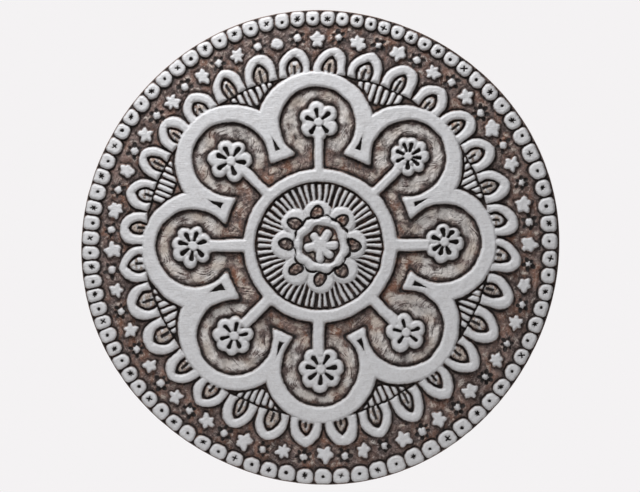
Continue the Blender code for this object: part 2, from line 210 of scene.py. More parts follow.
@dataclass(frozen=True)
class Ripple:
    """A smooth unevenness over the face: a sum of plane waves in seeded directions.

    Attributes:
        reach: The usual height of the waves.
        length: The usual distance between two crests.
        seed: Picks the directions, lengths and starts of the waves.
        waves: How many there are.
    """

    reach: float
    length: float
    seed: int
    waves: int = 14

    def at(self, right: Array, up: Array) -> Array:
        """The sum of cos(2 pi * way along the wave / its length + its start), times the reach.

        Args:
            right: Places to the right of the middle.
            up: Places above it.

        Returns:
            The height of the waves at each place.
        """
        draw = np.random.default_rng(self.seed)
        total = np.zeros(np.broadcast(right, up).shape)
        for _ in range(self.waves):
            heading, start = draw.uniform(0, TURN, 2)
            number = TURN / (self.length * draw.uniform(0.6, 1.7))
            way = right * math.sin(heading) + up * math.cos(heading)
            total += np.cos(number * way + start)
        return self.reach * math.sqrt(2 / self.waves) * total


@dataclass(frozen=True)
class Chance:
    """Random numbers, one for each member of a family, laid out over the places of a face.

    Attributes:
        draw: The seeded source.
        member: Each place's member, by number.
        count: How many members there are.
    """

    draw: np.random.Generator
    member: Array
    count: int

    def spread(self, reach: float) -> Array:
        """Numbers about zero, usually this large."""
        return self.draw.normal(0, reach, self.count)[self.member]

    def between(self, low: float, high: float) -> Array:
        """Numbers between two others."""
        return self.draw.uniform(low, high, self.count)[self.member]


# The carver's hand and the face


@dataclass
class Spots:
    """Places on the face, in millimetres right of and above the middle.

    Attributes:
        right: Where each place is, to the right.
        up: Where each place is, upwards.
        cut_right: The same with the sway of the hand.
        cut_up: The same with the sway of the hand.
        drawn_right: The place in the even drawing, with the sway of the hand.
        drawn_up: The place in the even drawing, with the sway of the hand.
    """

    right: Array
    up: Array
    cut_right: Array
    cut_up: Array
    drawn_right: Array
    drawn_up: Array

    def __post_init__(self) -> None:
        """Works out the polar coordinates."""
        self.radius = np.hypot(self.drawn_right, self.drawn_up)
        self.angle = np.arctan2(self.drawn_right, self.drawn_up)
        self.cut_radius = np.hypot(self.cut_right, self.cut_up)
        self.cut_angle = np.arctan2(self.cut_right, self.cut_up)

    def uneven(self, *ripples: Ripple) -> Array:
        """The sum of some ripples at these places."""
        return sum(ripple.at(self.right, self.up) for ripple in ripples)


@dataclass(frozen=True)
class CarversHand:
    """How the even drawing is moved where it was carved."""

    hub_right: float = -0.9
    hub_up: float = 0.9
    lobe_shifts: tuple[float, ...] = (0.5, 0.7, -1.2, -4.6, -1.2, 0.2, 3.2, 2.8)
    lobe_turns: tuple[float, ...] = (-2.0, -1.5, -2.4, -0.6, 0.1, -1.1, 1.4, -1.0)
    from_radius: float = 50
    full_radius: float = 90
    fading_radius: float = 133.3
    to_radius: float = 165
    rim_radius: float = 179.85
    rim_waves: tuple[tuple[int, float, float], ...] = ((2, 0.66, 86), (3, 0.35, 44), (4, 0.88, -14))
    sways_right: tuple[Ripple, ...] = (Ripple(0.16, 13, 3), Ripple(0.07, 4, 5))
    sways_up: tuple[Ripple, ...] = (Ripple(0.16, 13, 4), Ripple(0.07, 4, 6))

    @staticmethod
    def between_lobes(values: tuple[float, ...], angle: Array) -> Array:
        """The value at an angle, eased from each lobe's own value to the next one's.

        Args:
            values: Each lobe's value.
            angle: The places' angles.

        Returns:
            The value at each place.
        """
        place = angle / LOBE_ANGLE % LOBES
        lobe = np.floor(place).astype(int) % LOBES
        part = eased(place - np.floor(place), 0, 1)
        return np.take(values, lobe) * (1 - part) + np.take(values, (lobe + 1) % LOBES) * part

    def carved(self, radius: Array, angle: Array) -> tuple[Array, Array]:
        """Where a place of the even drawing was carved.

        Each lobe is shifted outwards and turned by its own amount, fully between the courts
        and the band and not at all near the hub and the border. The hub as a whole is shifted.

        Args:
            radius: Its radius in the drawing.
            angle: Its angle in the drawing.

        Returns:
            Where it is on the tile, to the right and up.
        """
        out = eased(radius, self.from_radius, self.full_radius)
        share = out * eased(radius, self.to_radius, self.fading_radius)
        shift = share * self.between_lobes(self.lobe_shifts, angle)
        turn = share * np.radians(self.between_lobes(self.lobe_turns, angle))
        right, up = polar(radius + shift, angle + turn)
        return right + (1 - out) * self.hub_right, up + (1 - out) * self.hub_up

    def rim(self, angle: Array) -> Array:
        """The hand-cut rim's radius: a circle plus waves of reach * cos(crests * angle)."""
        waves = [
            reach * np.cos(crests * (angle - math.radians(crest)))
            for crests, reach, crest in self.rim_waves
        ]
        return self.rim_radius + sum(waves)

    def spots(self, radius: Array, angle: Array) -> Spots:
        """The places of a grid, with the hand's small sway in the lines that it cuts.

        Args:
            radius: Radii in the even drawing.
            angle: Angles in the even drawing.

        Returns:
            The places on the tile and in the drawing.
        """
        right, up = self.carved(radius, angle)
        off_right = sum(sway.at(right, up) for sway in self.sways_right)
        off_up = sum(sway.at(right, up) for sway in self.sways_up)
        drawn_right, drawn_up = polar(radius, angle)
        cut = (right + off_right, up + off_up)
        return Spots(right, up, *cut, drawn_right + off_right, drawn_up + off_up)


@dataclass
class Face:
    """What is carved and painted at each place.

    Attributes:
        height: Height over the ground.
        inside: Distance inside the nearest raised form, negative on the ground.
        edge: Distance inside the painted area, negative outside it.
        paint: How fully the painted area is covered.
        hollow: How dark the stain lies in cuts and along the forms, together with painted shade on
            the ground beside the forms' walls.
        soil: How much the paint is darkened: by stain, by painted shade in grooves and valleys, and
            along its edges.
        rub: Share of the silver that was rubbed on the ground.
        warm: How reddish the stain is.
        stroke: Places for the brush marks: across the strokes, and right and up.
    """

    height: Array
    inside: Array
    edge: Array
    paint: Array
    hollow: Array
    soil: Array
    rub: Array
    warm: Array
    stroke: Array

    foot: ClassVar[float] = 0.55
    edge_limit: ClassVar[float] = 3.0
    groove_depth: ClassVar[float] = 0.8
    groove_width: ClassVar[float] = 1.1
    puff_height: ClassVar[float] = 0.5
    puff_full: ClassVar[float] = 5
    ground_waves: ClassVar[tuple[Ripple, ...]] = (Ripple(0.16, 9, 11), Ripple(0.14, 2.8, 12, 30))
    line_dark: ClassVar[float] = 1.02
    shade_dark: ClassVar[float] = 0.33
    stain_patches: ClassVar[Ripple] = Ripple(0.27, 8, 15)
    top_swells: ClassVar[tuple[Ripple, ...]] = (Ripple(0.07, 15, 13), Ripple(0.05, 4.5, 14, 24))
    swell_limit: ClassVar[float] = 0.2
    stroke_wander: ClassVar[Ripple] = Ripple(3.0, 15, 16)
    rub_patches: ClassVar[Ripple] = Ripple(0.24, 8, 17)
    warm_patches: ClassVar[Ripple] = Ripple(0.16, 60, 18)

    @classmethod
    def plain(cls, spots: Spots) -> "Face":
        """A bare face at the level of the ground.

        Args:
            spots: The places of the face.

        Returns:
            The face.
        """
        shape = spots.right.shape
        none = {name: np.zeros(shape) for name in ("height", "paint", "hollow", "soil")}
        far = {name: np.full(shape, NOWHERE) for name in ("inside", "edge")}
        across = spots.radius + spots.uneven(cls.stroke_wander)
        stroke = np.stack([across, spots.right, spots.up], axis=-1)
        rub = 0.4 + spots.uneven(cls.rub_patches)
        warm = 0.72 + spots.uneven(cls.warm_patches)
        return cls(rub=rub, warm=warm, stroke=stroke, **none, **far)

    def lift(self, **least: Array) -> None:
        """Raises the height or the marks of these names to at least these values."""
        for name, values in least.items():
            setattr(self, name, np.maximum(getattr(self, name), values))

    def raise_form(
        self, inside: Array, height: float, shoulder: float, paint: Array | float = 1.0
    ) -> None:
        """Adds a raised form with a steep foot and a round shoulder.

        The height is 1 - (1 - t) ** 2 of the full one, with t from the foot to the shoulder.
        A form covers what was cut before it.

        Args:
            inside: Distance inside the form.
            height: Its full height.
            shoulder: How far in it reaches its full height.
            paint: How fully it is painted.
        """
        part = np.clip((inside + self.foot) / (shoulder + self.foot), 0, 1)
        bare = 1 - eased(inside, -0.8, 0)
        self.hollow, self.soil = self.hollow * bare, self.soil * bare
        self.paint = self.paint + (paint - self.paint) * eased(inside, -1.3, -0.5)
        self.lift(height=height * (1 - (1 - part) ** 2), edge=inside, inside=inside)

    def lay_over(self, inside: Array, height: Array, paint: Array, clean: Array) -> None:
        """Covers what is there with a painted form that has its own height.

        Args:
            inside: Distance inside the form.
            height: Its height at each place.
            paint: How fully each place is painted.
            clean: How far its stain is gone.
        """
        self.height = self.height + (height - self.height) * eased(inside, -0.35, 0.1)
        self.paint = self.paint + (1 - self.paint) * paint
        self.hollow = self.hollow * (1 - clean)
        self.lift(edge=inside, inside=inside)

    def sink(self, inside: Array, depth: float, shoulder: float, dark: float) -> None:
        """Cuts into what is there, and lets the stain settle in the cut.

        Args:
            inside: Distance inside the cut.
            depth: How deep it is, along the middle.
            shoulder: How far in it reaches its full depth.
            dark: How dark the stain lies in it.
        """
        self.height = self.height - depth * eased(inside, -0.35, shoulder)
        self.edge = np.minimum(self.edge, -inside)
        self.lift(hollow=dark * eased(inside, -0.6, 0.2))

    def settle_ground(self, spots: Spots) -> None:
        """Sinks the ground along the forms, puffs it up between them and darkens the hollows.

        Among the stars the ground is shallower and its edges are paler. Beside every wall the
        ground also gets a soft band of painted shade, mixed with stain.

        Args:
            spots: The places of the face.
        """
        away = np.maximum(-self.inside - self.foot, 0)
        on_ground = eased(self.inside, 0.0, -self.foot)
        among_stars = eased(spots.radius, 148, 152) * eased(spots.radius, 167, 165.5)
        among_rays = eased(spots.radius, 48.4, 47.4)
        groove = (0.45 * among_stars - self.groove_depth) * bell(away, self.groove_width)
        puff = self.puff_height * eased(away, 0.8, self.puff_full) - 0.15
        uneven = spots.uneven(*self.ground_waves)
        self.height = self.height + on_ground * (groove + puff + uneven)
        dark = self.line_dark - 0.5 * among_stars - 0.17 * among_rays
        line = dark * bell(self.inside + 0.95, 0.7)
        # Painted shade and stain: a soft dark band some 3 mm wide on the ground beside each wall
        shade = (self.shade_dark - 0.16 * among_stars) * bell(away, 2.7)
        patches = 1 + spots.uneven(self.stain_patches)
        self.rub = self.rub * (1 - on_ground * eased(away, 4.2, 0.2))
        self.lift(
            hollow=on_ground * patches * np.maximum(line, shade),
            # The paint is darkened within 1.4 mm of its edges
            soil=0.3 * eased(self.edge, 1.4, 0.0),
        )

    def finish(self, spots: Spots) -> None:
        """Adds the slight swell of the painted tops and keeps the face below its highest."""
        swell = np.clip(spots.uneven(*self.top_swells), -self.swell_limit, self.swell_limit)
        self.height = np.minimum(self.height + swell * eased(self.inside, 0, 2), HIGHEST)

    def marks(self, first: int, rows: int) -> dict[str, Array]:
        """The marks that the finish reads.

        Args:
            first: The first of the face's rows that the piece has.
            rows: How many rows the piece has, the ones behind the face included.

        Returns:
            The values by name, with nothing past the face's own rows, where the strokes go on.
        """
        more = first + rows - len(self.paint)
        names = ("edge", "paint", "hollow", "soil", "rub", "warm")
        found = {name: np.pad(getattr(self, name)[first:], ((0, more), (0, 0))) for name in names}
        found["edge"] = np.clip(found["edge"], -self.edge_limit, self.edge_limit)
        found["stroke"] = np.pad(self.stroke[first:], ((0, more), (0, 0), (0, 0)), mode="edge")
        return found


# The families of the ornament


@dataclass(frozen=True)
class Family:
    """A family of forms that stand round the tile.

    Attributes:
        starts: The family's forms are outside this radius.
        ends: They are inside this one.
    """

    starts: ClassVar[float] = 0
    ends: ClassVar[float] = 400

    def meets(self, radius: Array) -> bool:
        """Whether some of these radii may lie on the family's forms."""
        return bool(radius.max() > self.starts and radius.min() < self.ends)

    def carve(self, spots: Spots, face: Face) -> None:
        """Carves the family.

        Args:
            spots: The places of the face.
            face: What is carved and painted there so far, which this changes.
        """
        raise NotImplementedError


class Mark(Enum):
    """What is pricked or cut into a bead, by its number of strokes."""

    DOT = 0
    CROSS = 2
    STAR = 3


@dataclass(frozen=True)
class Beads(Family):
    """The border of rounded square beads, each with a mark."""

    starts: ClassVar[float] = 160
    hand: CarversHand = CarversHand()
    seed: int = 21
    count: int = 86
    height: float = 2.5
    shoulder: float = 2.0
    inner_radius: float = 167.9
    gap: float = 1.0
    inner_corner: float = 5.5
    outer_corner: float = 3.4
    margin: float = 0.7
    more_margin: float = 0.8
    more_margin_at: float = math.radians(62)
    dot_radius: float = 1.15
    dot_depth: float = 1.3
    stroke_reach: float = 1.9
    stroke_shorter: float = 0.3
    stroke_half_width: float = 0.46
    stroke_depth: float = 0.9
    first: float = 5.7
    waves: tuple[tuple[int, float, float], ...] = (
        (1, 5.15, -144),
        (2, 1.4, 4),
        (3, 1.3, -26),
        (4, 0.4, -18),
        (5, 0.4, 6),
    )

    def gap_angles(self) -> Array:
        """The middles of the gaps: even steps plus waves of reach * cos(crests * angle).

        Returns:
            The angles, with the first gap's at both ends.
        """
        even = np.arange(self.count + 1) * 360 / self.count
        total = self.first + even
        for crests, reach, crest in self.waves:
            total = total + reach * np.cos(np.radians(crests * (even - crest)))
        return np.radians(total)

    def mark(self, bead: int) -> Mark:
        """Every other bead has a dot, and the rest have crosses and stars."""
        if bead % 2 == 0:
            return Mark.DOT
        return Mark.STAR if bead % 3 else Mark.CROSS

    def carve(self, spots: Spots, face: Face) -> None:
        """Raises the beads as pillows and cuts their marks.

        Args:
            spots: The places of the face.
            face: The face to carve.
        """
        gaps = self.gap_angles()
        angle = (spots.cut_angle - gaps[0]) % TURN + gaps[0]
        bead = np.clip(np.searchsorted(gaps, angle, side="right") - 1, 0, self.count - 1)
        chance = Chance(np.random.default_rng(self.seed), bead, self.count)
        start, end = gaps[bead], gaps[bead + 1]
        middle = (start + end) / 2
        across = spots.cut_radius * (angle - middle)
        half = spots.cut_radius * (end - start) / 2 - self.gap / 2 - np.abs(chance.spread(0.15))
        towards = eased(np.cos(middle - self.more_margin_at), 0.1, 0.9)
        outer = self.hand.rim(middle) - self.margin - self.more_margin * towards
        inner = self.inner_radius + chance.spread(0.3)
        out, half_out = spots.cut_radius - (outer + inner) / 2, (outer - inner) / 2
        corner = self.outer_corner + (self.inner_corner - self.outer_corner) * eased(out, 1, -1)
        corner = corner * chance.between(0.85, 1.15)
        corner = np.minimum(corner, np.minimum(half, half_out) - 0.2)
        pillow = in_slab(across, out, half, half_out, corner)
        face.raise_form(pillow, self.height, self.shoulder)
        self._cut_marks(across, out, face, chance)

    def _cut_marks(self, across: Array, out: Array, face: Face, chance: Chance) -> None:
        """Pricks a dot, or cuts two or three short strokes that cross, in each bead.

        Args:
            across: Places across from the bead's middle.
            out: Places outwards from it.
            face: The face to cut.
            chance: The beads' unevenness.
        """
        strokes = np.array([self.mark(bead).value for bead in range(self.count)])[chance.member]
        across, out = across - chance.spread(0.4), out - chance.spread(0.4)
        turn, size = chance.between(0, TURN), chance.between(0.85, 1.15)
        dot = self.dot_radius * size - np.hypot(across, out)
        face.sink(np.where(strokes == Mark.DOT.value, dot, NOWHERE), self.dot_depth, 0.4, 1.1)
        for stroke in range(Mark.STAR.value):
            heading = turn + stroke * math.pi / np.maximum(strokes, 1)
            aside, along = turned(across, out, heading)
            reach = (self.stroke_reach - self.stroke_shorter * stroke) * size
            beyond = np.maximum(np.abs(along) - reach, 0)
            cut = self.stroke_half_width - np.hypot(beyond, aside)
            face.sink(np.where(stroke < strokes, cut, NOWHERE), self.stroke_depth, 0.25, 1.1)


@dataclass(frozen=True)
class StarsAndDots(Family):
    """The ring of small stars, with a dot ringed by pricks between each two."""

    starts: ClassVar[float] = 145
    star_seed: int = 31
    dot_seed: int = 32
    count: int = 32
    height: float = 2.3
    first: float = math.radians(-0.9)
    star_ring: float = 157.3
    star_tip: float = 6.3
    star_notch: float = 4.3
    star_edge: Ripple = Ripple(0.16, 3.2, 33)
    star_shoulder: float = 1.4
    turn: float = math.radians(29)
    dot_ring: float = 159
    dot_radius: float = 2.75
    dot_shoulder: float = 1.9
    prick_radius: float = 1.1
    prick_ring: float = 4.3
    prick_depth: float = 1.2
    crumb_height: float = 0.8
    most_pricks: int = 8

    def dot_angle(self, number: Array | int) -> Array:
        """Where a dot stands, midway between two stars."""
        return self.first + TURN * (number + 0.5) / self.count

    def carve(self, spots: Spots, face: Face) -> None:
        """Raises the stars, and the dots with their pricks."""
        self._carve_stars(spots, face)
        self._carve_dots(spots, face)

    def _near(
        self, spots: Spots, ring: float, first: float, offsets: Array
    ) -> tuple[Array, Array, Array]:
        """The nearest of the places that stand evenly on a ring.

        Args:
            spots: The spots.
            ring: The ring's radius.
            first: The first place's angle.
            offsets: How far each place is moved to the right and up.

        Returns:
            Its number, and how far right and up of it a spot is.
        """
        number = np.rint((spots.cut_angle - first) * self.count / TURN)
        right, up = polar(ring, first + number * TURN / self.count)
        number = number.astype(int) % self.count
        right = spots.cut_right - right - offsets[0][number]
        return number, right, spots.cut_up - up - offsets[1][number]

    def _carve_stars(self, spots: Spots, face: Face) -> None:
        """A star is a circle with waves of (1 + cos(points * angle)) / 2, and lopsided.

        Args:
            spots: The places of the face.
            face: The face to carve.
        """
        draw = np.random.default_rng(self.star_seed)
        offsets = draw.normal(0, 0.5, (2, self.count))
        number, right, up = self._near(spots, self.star_ring, self.first, offsets)
        points = draw.choice([5, 5, 6], self.count)
        size = draw.uniform(0.88, 1.08, self.count)
        sharp = draw.uniform(0.75, 1.1, self.count)
        # One of them, left of the top, is a plain pebble
        sharp[-1], size[-1] = 0.1, 0.85
        chance = Chance(draw, number, self.count)
        around = np.arctan2(right, up) - self.turn * number - chance.spread(0.2)
        wave = (1 + np.cos(points[number] * around)) / 2
        lopsided = spots.uneven(self.star_edge)
        for crests, reach in ((1, 0.5), (2, 0.4), (3, 0.4)):
            lopsided = lopsided + reach * np.cos(crests * around + chance.between(0, TURN))
        middle = (self.star_tip + self.star_notch) / 2
        reach = (self.star_tip - self.star_notch) * sharp[number]
        width = size[number] * (middle + reach * (wave - 0.5) + lopsided)
        inside = (width - np.hypot(right, up)) * 0.85
        face.raise_form(inside, self.height, self.star_shoulder)

    def _carve_dots(self, spots: Spots, face: Face) -> None:
        """A dot is a small dome, and the pricks stand on a circle round it.

        Args:
            spots: The places of the face.
            face: The face to carve.
        """
        draw = np.random.default_rng(self.dot_seed)
        offsets = draw.normal(0, 0.4, (2, self.count))
        number, right, up = self._near(spots, self.dot_ring, self.dot_angle(0), offsets)
        chance = Chance(draw, number, self.count)
        size = chance.between(0.88, 1.12)
        around, away = np.arctan2(right, up), np.hypot(right, up)
        lopsided = 0.2 * np.cos(4 * (around - chance.between(0, 1)))
        lopsided = lopsided + 0.3 * np.cos(around - chance.between(0, TURN))
        inside = self.dot_radius * size + lopsided - away
        face.raise_form(inside, self.height, self.dot_shoulder)
        pricks = draw.choice([5, 6, 6, 7], self.count)[number]
        turn = chance.between(0, TURN)
        step = np.rint((around - turn) * pricks / TURN)
        nearest = step * TURN / pricks + turn
        places = self.most_pricks * self.count
        prick = (number * self.most_pricks + step.astype(int)) % places
        chance = Chance(draw, prick, places)
        ring = self.prick_ring * size + chance.spread(0.4)
        prick_right, prick_up = polar(ring, nearest)
        radius = self.prick_radius * chance.between(0.55, 1.3)
        # The clay that the pricks push up stands between them as pale crumbs
        crumbs = bell(away - ring - 0.4, 1.4) * (0.5 - 0.5 * np.cos((around - turn) * pricks))
        face.height = face.height + self.crumb_height * crumbs * (face.height < 0.3)
        face.lift(rub=1.5 * crumbs)
        aside, along = turned(right - prick_right, up - prick_up, nearest)
        face.sink(radius - np.hypot(aside, 0.7 * along), self.prick_depth, 0.5, 1.2)


@dataclass(frozen=True)
class Petals(Family):
    """The fringe of pointed arches, each round a tongue with a slit."""

    starts: ClassVar[float] = 125
    ends: ClassVar[float] = 156
    seed: int = 41
    first: float = StarsAndDots().dot_angle(0)
    count: int = 32
    height: float = 3.0
    shoulder: float = 2.2
    foot: float = 129.9
    widest: float = 137.4
    tip: float = 152
    half_width: float = 12.3
    wall: float = 6.2
    tip_wall: float = 6.9
    opening_widest: float = 134.9
    tongue_gap: float = 2.1
    tongue_short: float = 3.2
    tongue_height: float = 2.3
    tongue_shoulder: float = 1.3
    tongue_wear: Ripple = Ripple(0.22, 4, 42)
    slit_half: float = 0.85
    slit_short: float = 5.4
    slit_depth: float = 1.0

    @staticmethod
    def arch(along: Array, rise: Array, half_width: Array, pointed: Array, tip: Array) -> Array:
        """Distance inside an arch half_width * (1 - rise ** 2) ** pointed wide on each side.

        Args:
            along: Places to the side of its axis.
            rise: Places outwards, 0 where it is widest and 1 at the tip.
            half_width: Half its greatest width.
            pointed: How pointed it is: 0.5 is half an ellipse.
            tip: Distance inwards from the tip.

        Returns:
            The lesser of the distances to the side, over its slope, and to the tip.
        """
        part = np.clip(rise, 0, 0.999)
        width = half_width * (1 - part**2) ** pointed
        return np.minimum((width - np.abs(along)) * (1 - 0.35 * part**2), tip)

    def carve(self, spots: Spots, face: Face) -> None:
        """Raises the arches and, in the opening of each, a lower tongue with a slit.

        Args:
            spots: The places of the face.
            face: The face to carve.
        """
        number, along, out = sector(spots.radius, spots.angle, self.count, self.first)
        chance = Chance(np.random.default_rng(self.seed), number, self.count)
        along = along + chance.spread(0.6) * eased(out, 134, 150)
        pointed = chance.between(0.42, 0.72)
        width = self.half_width * chance.between(0.96, 1.02)
        tip = self.tip + chance.spread(0.4)
        rise = (out - self.widest) / (tip - self.widest)
        outer = self.arch(along, rise, width, pointed, tip - out)
        inner_tip = tip - self.tip_wall - chance.between(-0.8, 0.9)
        inner_half = width - self.wall - chance.between(-1.0, 0.8)
        inner_pointed = chance.between(0.6, 0.95)
        # The opening is widest nearer to its foot, and a little narrower at the foot itself
        low = self.opening_widest
        inner_half = inner_half - 0.9 * eased(out, low, self.foot)
        rise = (out - low) / (inner_tip - low)
        opening = self.arch(along, rise, inner_half, inner_pointed, inner_tip - out)
        above_foot = out - self.foot
        inside = np.minimum(np.minimum(outer, -opening), above_foot)
        face.raise_form(inside, self.height, self.shoulder)
        # The arches' paint is darkened over their last 3.5 mm towards the foot
        face.lift(soil=0.3 * eased(above_foot, 3.5, 0.5) * (inside > 0))
        tongue = np.minimum(opening - self.tongue_gap, above_foot)
        tongue = np.minimum(tongue, (inner_tip - self.tongue_short - out) * 0.7)
        paint = chance.between(0.05, 0.6) + spots.uneven(self.tongue_wear)
        face.raise_form(tongue, self.tongue_height, self.tongue_shoulder, paint)
        on_tongue = eased(tongue, -0.3, 0.5)
        face.lift(rub=0.85 * on_tongue, warm=0.8 * on_tongue)
        slit_tip = inner_tip - self.slit_short - chance.between(0, 2.5)
        slit = np.minimum(self.slit_half - np.abs(along), slit_tip - out)
        face.sink(np.minimum(slit, above_foot - 0.6), self.slit_depth, 0.5, 0.8)


@dataclass(frozen=True)
class LobedBand(Family):
    """The eight-lobed band round the courts, with a slit in each of the tails between them.

    Attributes:
        edge_across: How far clockwise the hand drew each lobe's outer arc.
        edge_out: How far outwards.
        court_across: How far clockwise it drew each court.
        court_out: How far outwards.
        court_growth: How much larger than the others a court is.
    """

    starts: ClassVar[float] = 55
    ends: ClassVar[float] = 136
    height: float = 3.5
    shoulder: float = 2.0
    tip: float = 133.3
    notch: float = 110.9
    court_centre: float = 94.1
    court_radius: float = 28.7
    edge_across: tuple[float, ...] = (-1, 3, 1, 0, 0, 0, -3.5, 0)
    edge_out: tuple[float, ...] = (-0.5, -0.5, 1.5, 0, 1.5, 0.5, -1, 0)
    court_across: tuple[float, ...] = (0.5, 2, 0.5, -0.5, 0.5, -1.5, -2, 0)
    court_out: tuple[float, ...] = (-1.5, 0, -1, -2, -2, 0, -1, -1.5)
    court_growth: tuple[float, ...] = (0, 0, 1.5, 1.5, 1.5, 0, 0, 0)
    tail_end: float = 70.0
    tail_half_width: float = 12.8
    tail_hollow: float = 1.3
    tip_round: float = 4.2
    slit_tip: float = 88.9
    slit_base: float = 78.4
    slit_depth: float = 2.4
    slit_half_widths: tuple[float, ...] = (1.8, 1.8, 1.9, 1.9, 2.0, 2.6, 2.6, 1.9)
    stroke_seed: int = 52
    stroke_wander: Ripple = Ripple(1.6, 22, 53)
    stroke_choice: Ripple = Ripple(0.5, 34, 54)
    rub_patches: Ripple = Ripple(0.26, 12, 55)
    warm_patches: Ripple = Ripple(0.25, 18, 56)

    def lobe_arc(self) -> tuple[float, float]:
        """How far out a lobe's arc is centred, and its radius, from the tip and the notches."""
        notch_up = self.notch * math.cos(math.pi / LOBES)
        centre = (self.tip**2 - self.notch**2) / (2 * (self.tip - notch_up))
        return centre, self.tip - centre

    def edge_radius(self, angle: Array) -> Array:
        """The radius of the band's outside at an angle, where the ray leaves the lobe's arc.

        Args:
            angle: The places' angles.

        Returns:
            The radius at each angle.
        """
        centre, arc_radius = self.lobe_arc()
        swing = angle - np.rint(angle / LOBE_ANGLE) * LOBE_ANGLE
        return centre * np.cos(swing) + np.sqrt(arc_radius**2 - (centre * np.sin(swing)) ** 2)

    def in_arcs(self, spots: Spots) -> Array:
        """Distance inside the lobes' arcs.

        Args:
            spots: The places of the face.

        Returns:
            The distance at each place.
        """
        centre, arc_radius = self.lobe_arc()
        inside = np.full(spots.angle.shape, NOWHERE)
        for lobe, (across, out) in enumerate(zip(self.edge_across, self.edge_out)):
            aside, along = turned(spots.drawn_right, spots.drawn_up, lobe * LOBE_ANGLE)
            away = np.hypot(aside - across, along - centre - out)
            inside = np.maximum(inside, arc_radius - away)
        return inside

    def carve(self, spots: Spots, face: Face) -> None:
        """Raises what is inside the lobes' arcs and outside the courts and the hub's yard.

        A tail's slit narrows evenly from its base to its tip.

        Args:
            spots: The places of the face.
            face: The face to carve.
        """
        lobe, across, out = sector(spots.radius, spots.angle, LOBES)
        court_across = across - np.take(self.court_across, lobe)
        court_out = out - self.court_centre - np.take(self.court_out, lobe)
        court_radius = self.court_radius + np.take(self.court_growth, lobe)
        court = court_radius - np.hypot(court_across, court_out)
        tail, aside, tail_out = sector(spots.radius, spots.angle, LOBES, LOBE_ANGLE / 2)
        bow = self.tail_hollow * (1 - (aside / self.tail_half_width) ** 2)
        hole = blended(court, self.tail_end + bow - tail_out, self.tip_round)
        face.raise_form(np.minimum(self.in_arcs(spots), -hole), self.height, self.shoulder)
        half = np.take(self.slit_half_widths, tail)
        half = half * (self.slit_tip - tail_out) / (self.slit_tip - self.slit_base)
        slit = np.minimum(half - np.abs(aside), tail_out - self.slit_base)
        face.sink(slit, self.slit_depth, 0.6, 1.2)
        self._brush_courts(spots, face, hole)

    def _brush_courts(self, spots: Spots, face: Face, hole: Array) -> None:
        """Rubs silver on the courts' floors, in strokes that wind round and across them.

        Args:
            spots: The places of the face.
            face: The face to brush.
            hole: Distance inside the courts and the yard.
        """
        lobe, across, out = sector(spots.radius, spots.angle, LOBES)
        centre_away = np.hypot(across, out - self.court_centre)
        heading = np.random.default_rng(self.stroke_seed).uniform(0, math.pi, LOBES)[lobe]
        straight = turned(across, out, heading)[1]
        choice = eased(spots.uneven(self.stroke_choice), -0.35, 0.35)
        strokes = centre_away * (1 - choice) + straight * choice
        strokes = strokes + spots.uneven(self.stroke_wander)
        # Each court has its own part of the pattern, and the strokes are long, so places count
        # for less along them
        strokes = strokes + 50.0 * lobe
        court = np.stack([strokes, 0.6 * spots.right, 0.6 * spots.up], axis=-1)
        face.stroke = np.where((hole > -3)[..., None], court, face.stroke)
        rub = 0.52 + 0.46 * eased(out, 62, 76) + spots.uneven(self.rub_patches)
        face.rub = np.where(hole > 0, np.clip(rub, 0, 1.2), face.rub)
        warm = 1.0 - 0.85 * eased(out, 64, 82) + spots.uneven(self.warm_patches)
        face.warm = np.where(hole > 0, warm, face.warm)


@dataclass(frozen=True)
class HatchedWedges(Family):
    """The bars outside the notches of the band, under a thin line."""

    starts: ClassVar[float] = 100
    ends: ClassVar[float] = 130
    band: LobedBand = LobedBand()
    seed: int = 51
    bars: int = 7
    height: float = 2.5
    shoulder: float = 1.5
    outer_radius: float = 128.9
    pitch: float = math.radians(2.3)
    bar_width: float = 3.7
    bar_half_length: float = 12.0
    bar_corner: float = 1.3
    clear_of_band: float = 1.9
    inner_radius: float = 116.6
    line_radius: float = 129.8
    line_half_width: float = 0.36
    line_full: float = math.radians(7.6)
    line_end: float = math.radians(10.2)

    def carve(self, spots: Spots, face: Face) -> None:
        """Raises the bars, each as wide as its width less the distance from its axis.

        Args:
            spots: The places of the face.
            face: The face to carve.
        """
        wedge, across, out = sector(spots.radius, spots.angle, LOBES, LOBE_ANGLE / 2)
        swing = np.arctan2(across, out)
        reach = (self.bars - 1) // 2
        step = np.clip(np.rint(swing / self.pitch), -reach, reach)
        bar = wedge * self.bars + step.astype(int) + reach
        chance = Chance(np.random.default_rng(self.seed), bar, LOBES * self.bars)
        lean = chance.spread(0.025)
        half = self.bar_width / 2 * chance.between(0.8, 1.06)
        end = self.outer_radius + chance.spread(0.35)
        across, out = polar(spots.radius, swing - step * self.pitch)
        across = across + lean * (out - 120)
        half = half * (0.74 + 0.26 * eased(out, 114, 124))
        from_middle = out - end + self.bar_half_length
        corner = np.minimum(half, self.bar_corner)
        inside = in_slab(across, from_middle, half, self.bar_half_length, corner)
        clear = self.clear_of_band + np.abs(chance.spread(0.6))
        start = self.inner_radius + chance.spread(1.1)
        beyond = np.minimum(-self.band.in_arcs(spots) - clear, out - start)
        inside = np.minimum(inside, beyond + 0.6 - 0.12 * across**2)
        face.raise_form(np.where(out > 108, inside, NOWHERE), self.height, self.shoulder)
        line = self.line_half_width - np.abs(spots.radius - self.line_radius)
        near = eased(np.abs(swing), self.line_end, self.line_full)
        face.lift(hollow=0.75 * eased(line, -0.45, 0.2) * near)


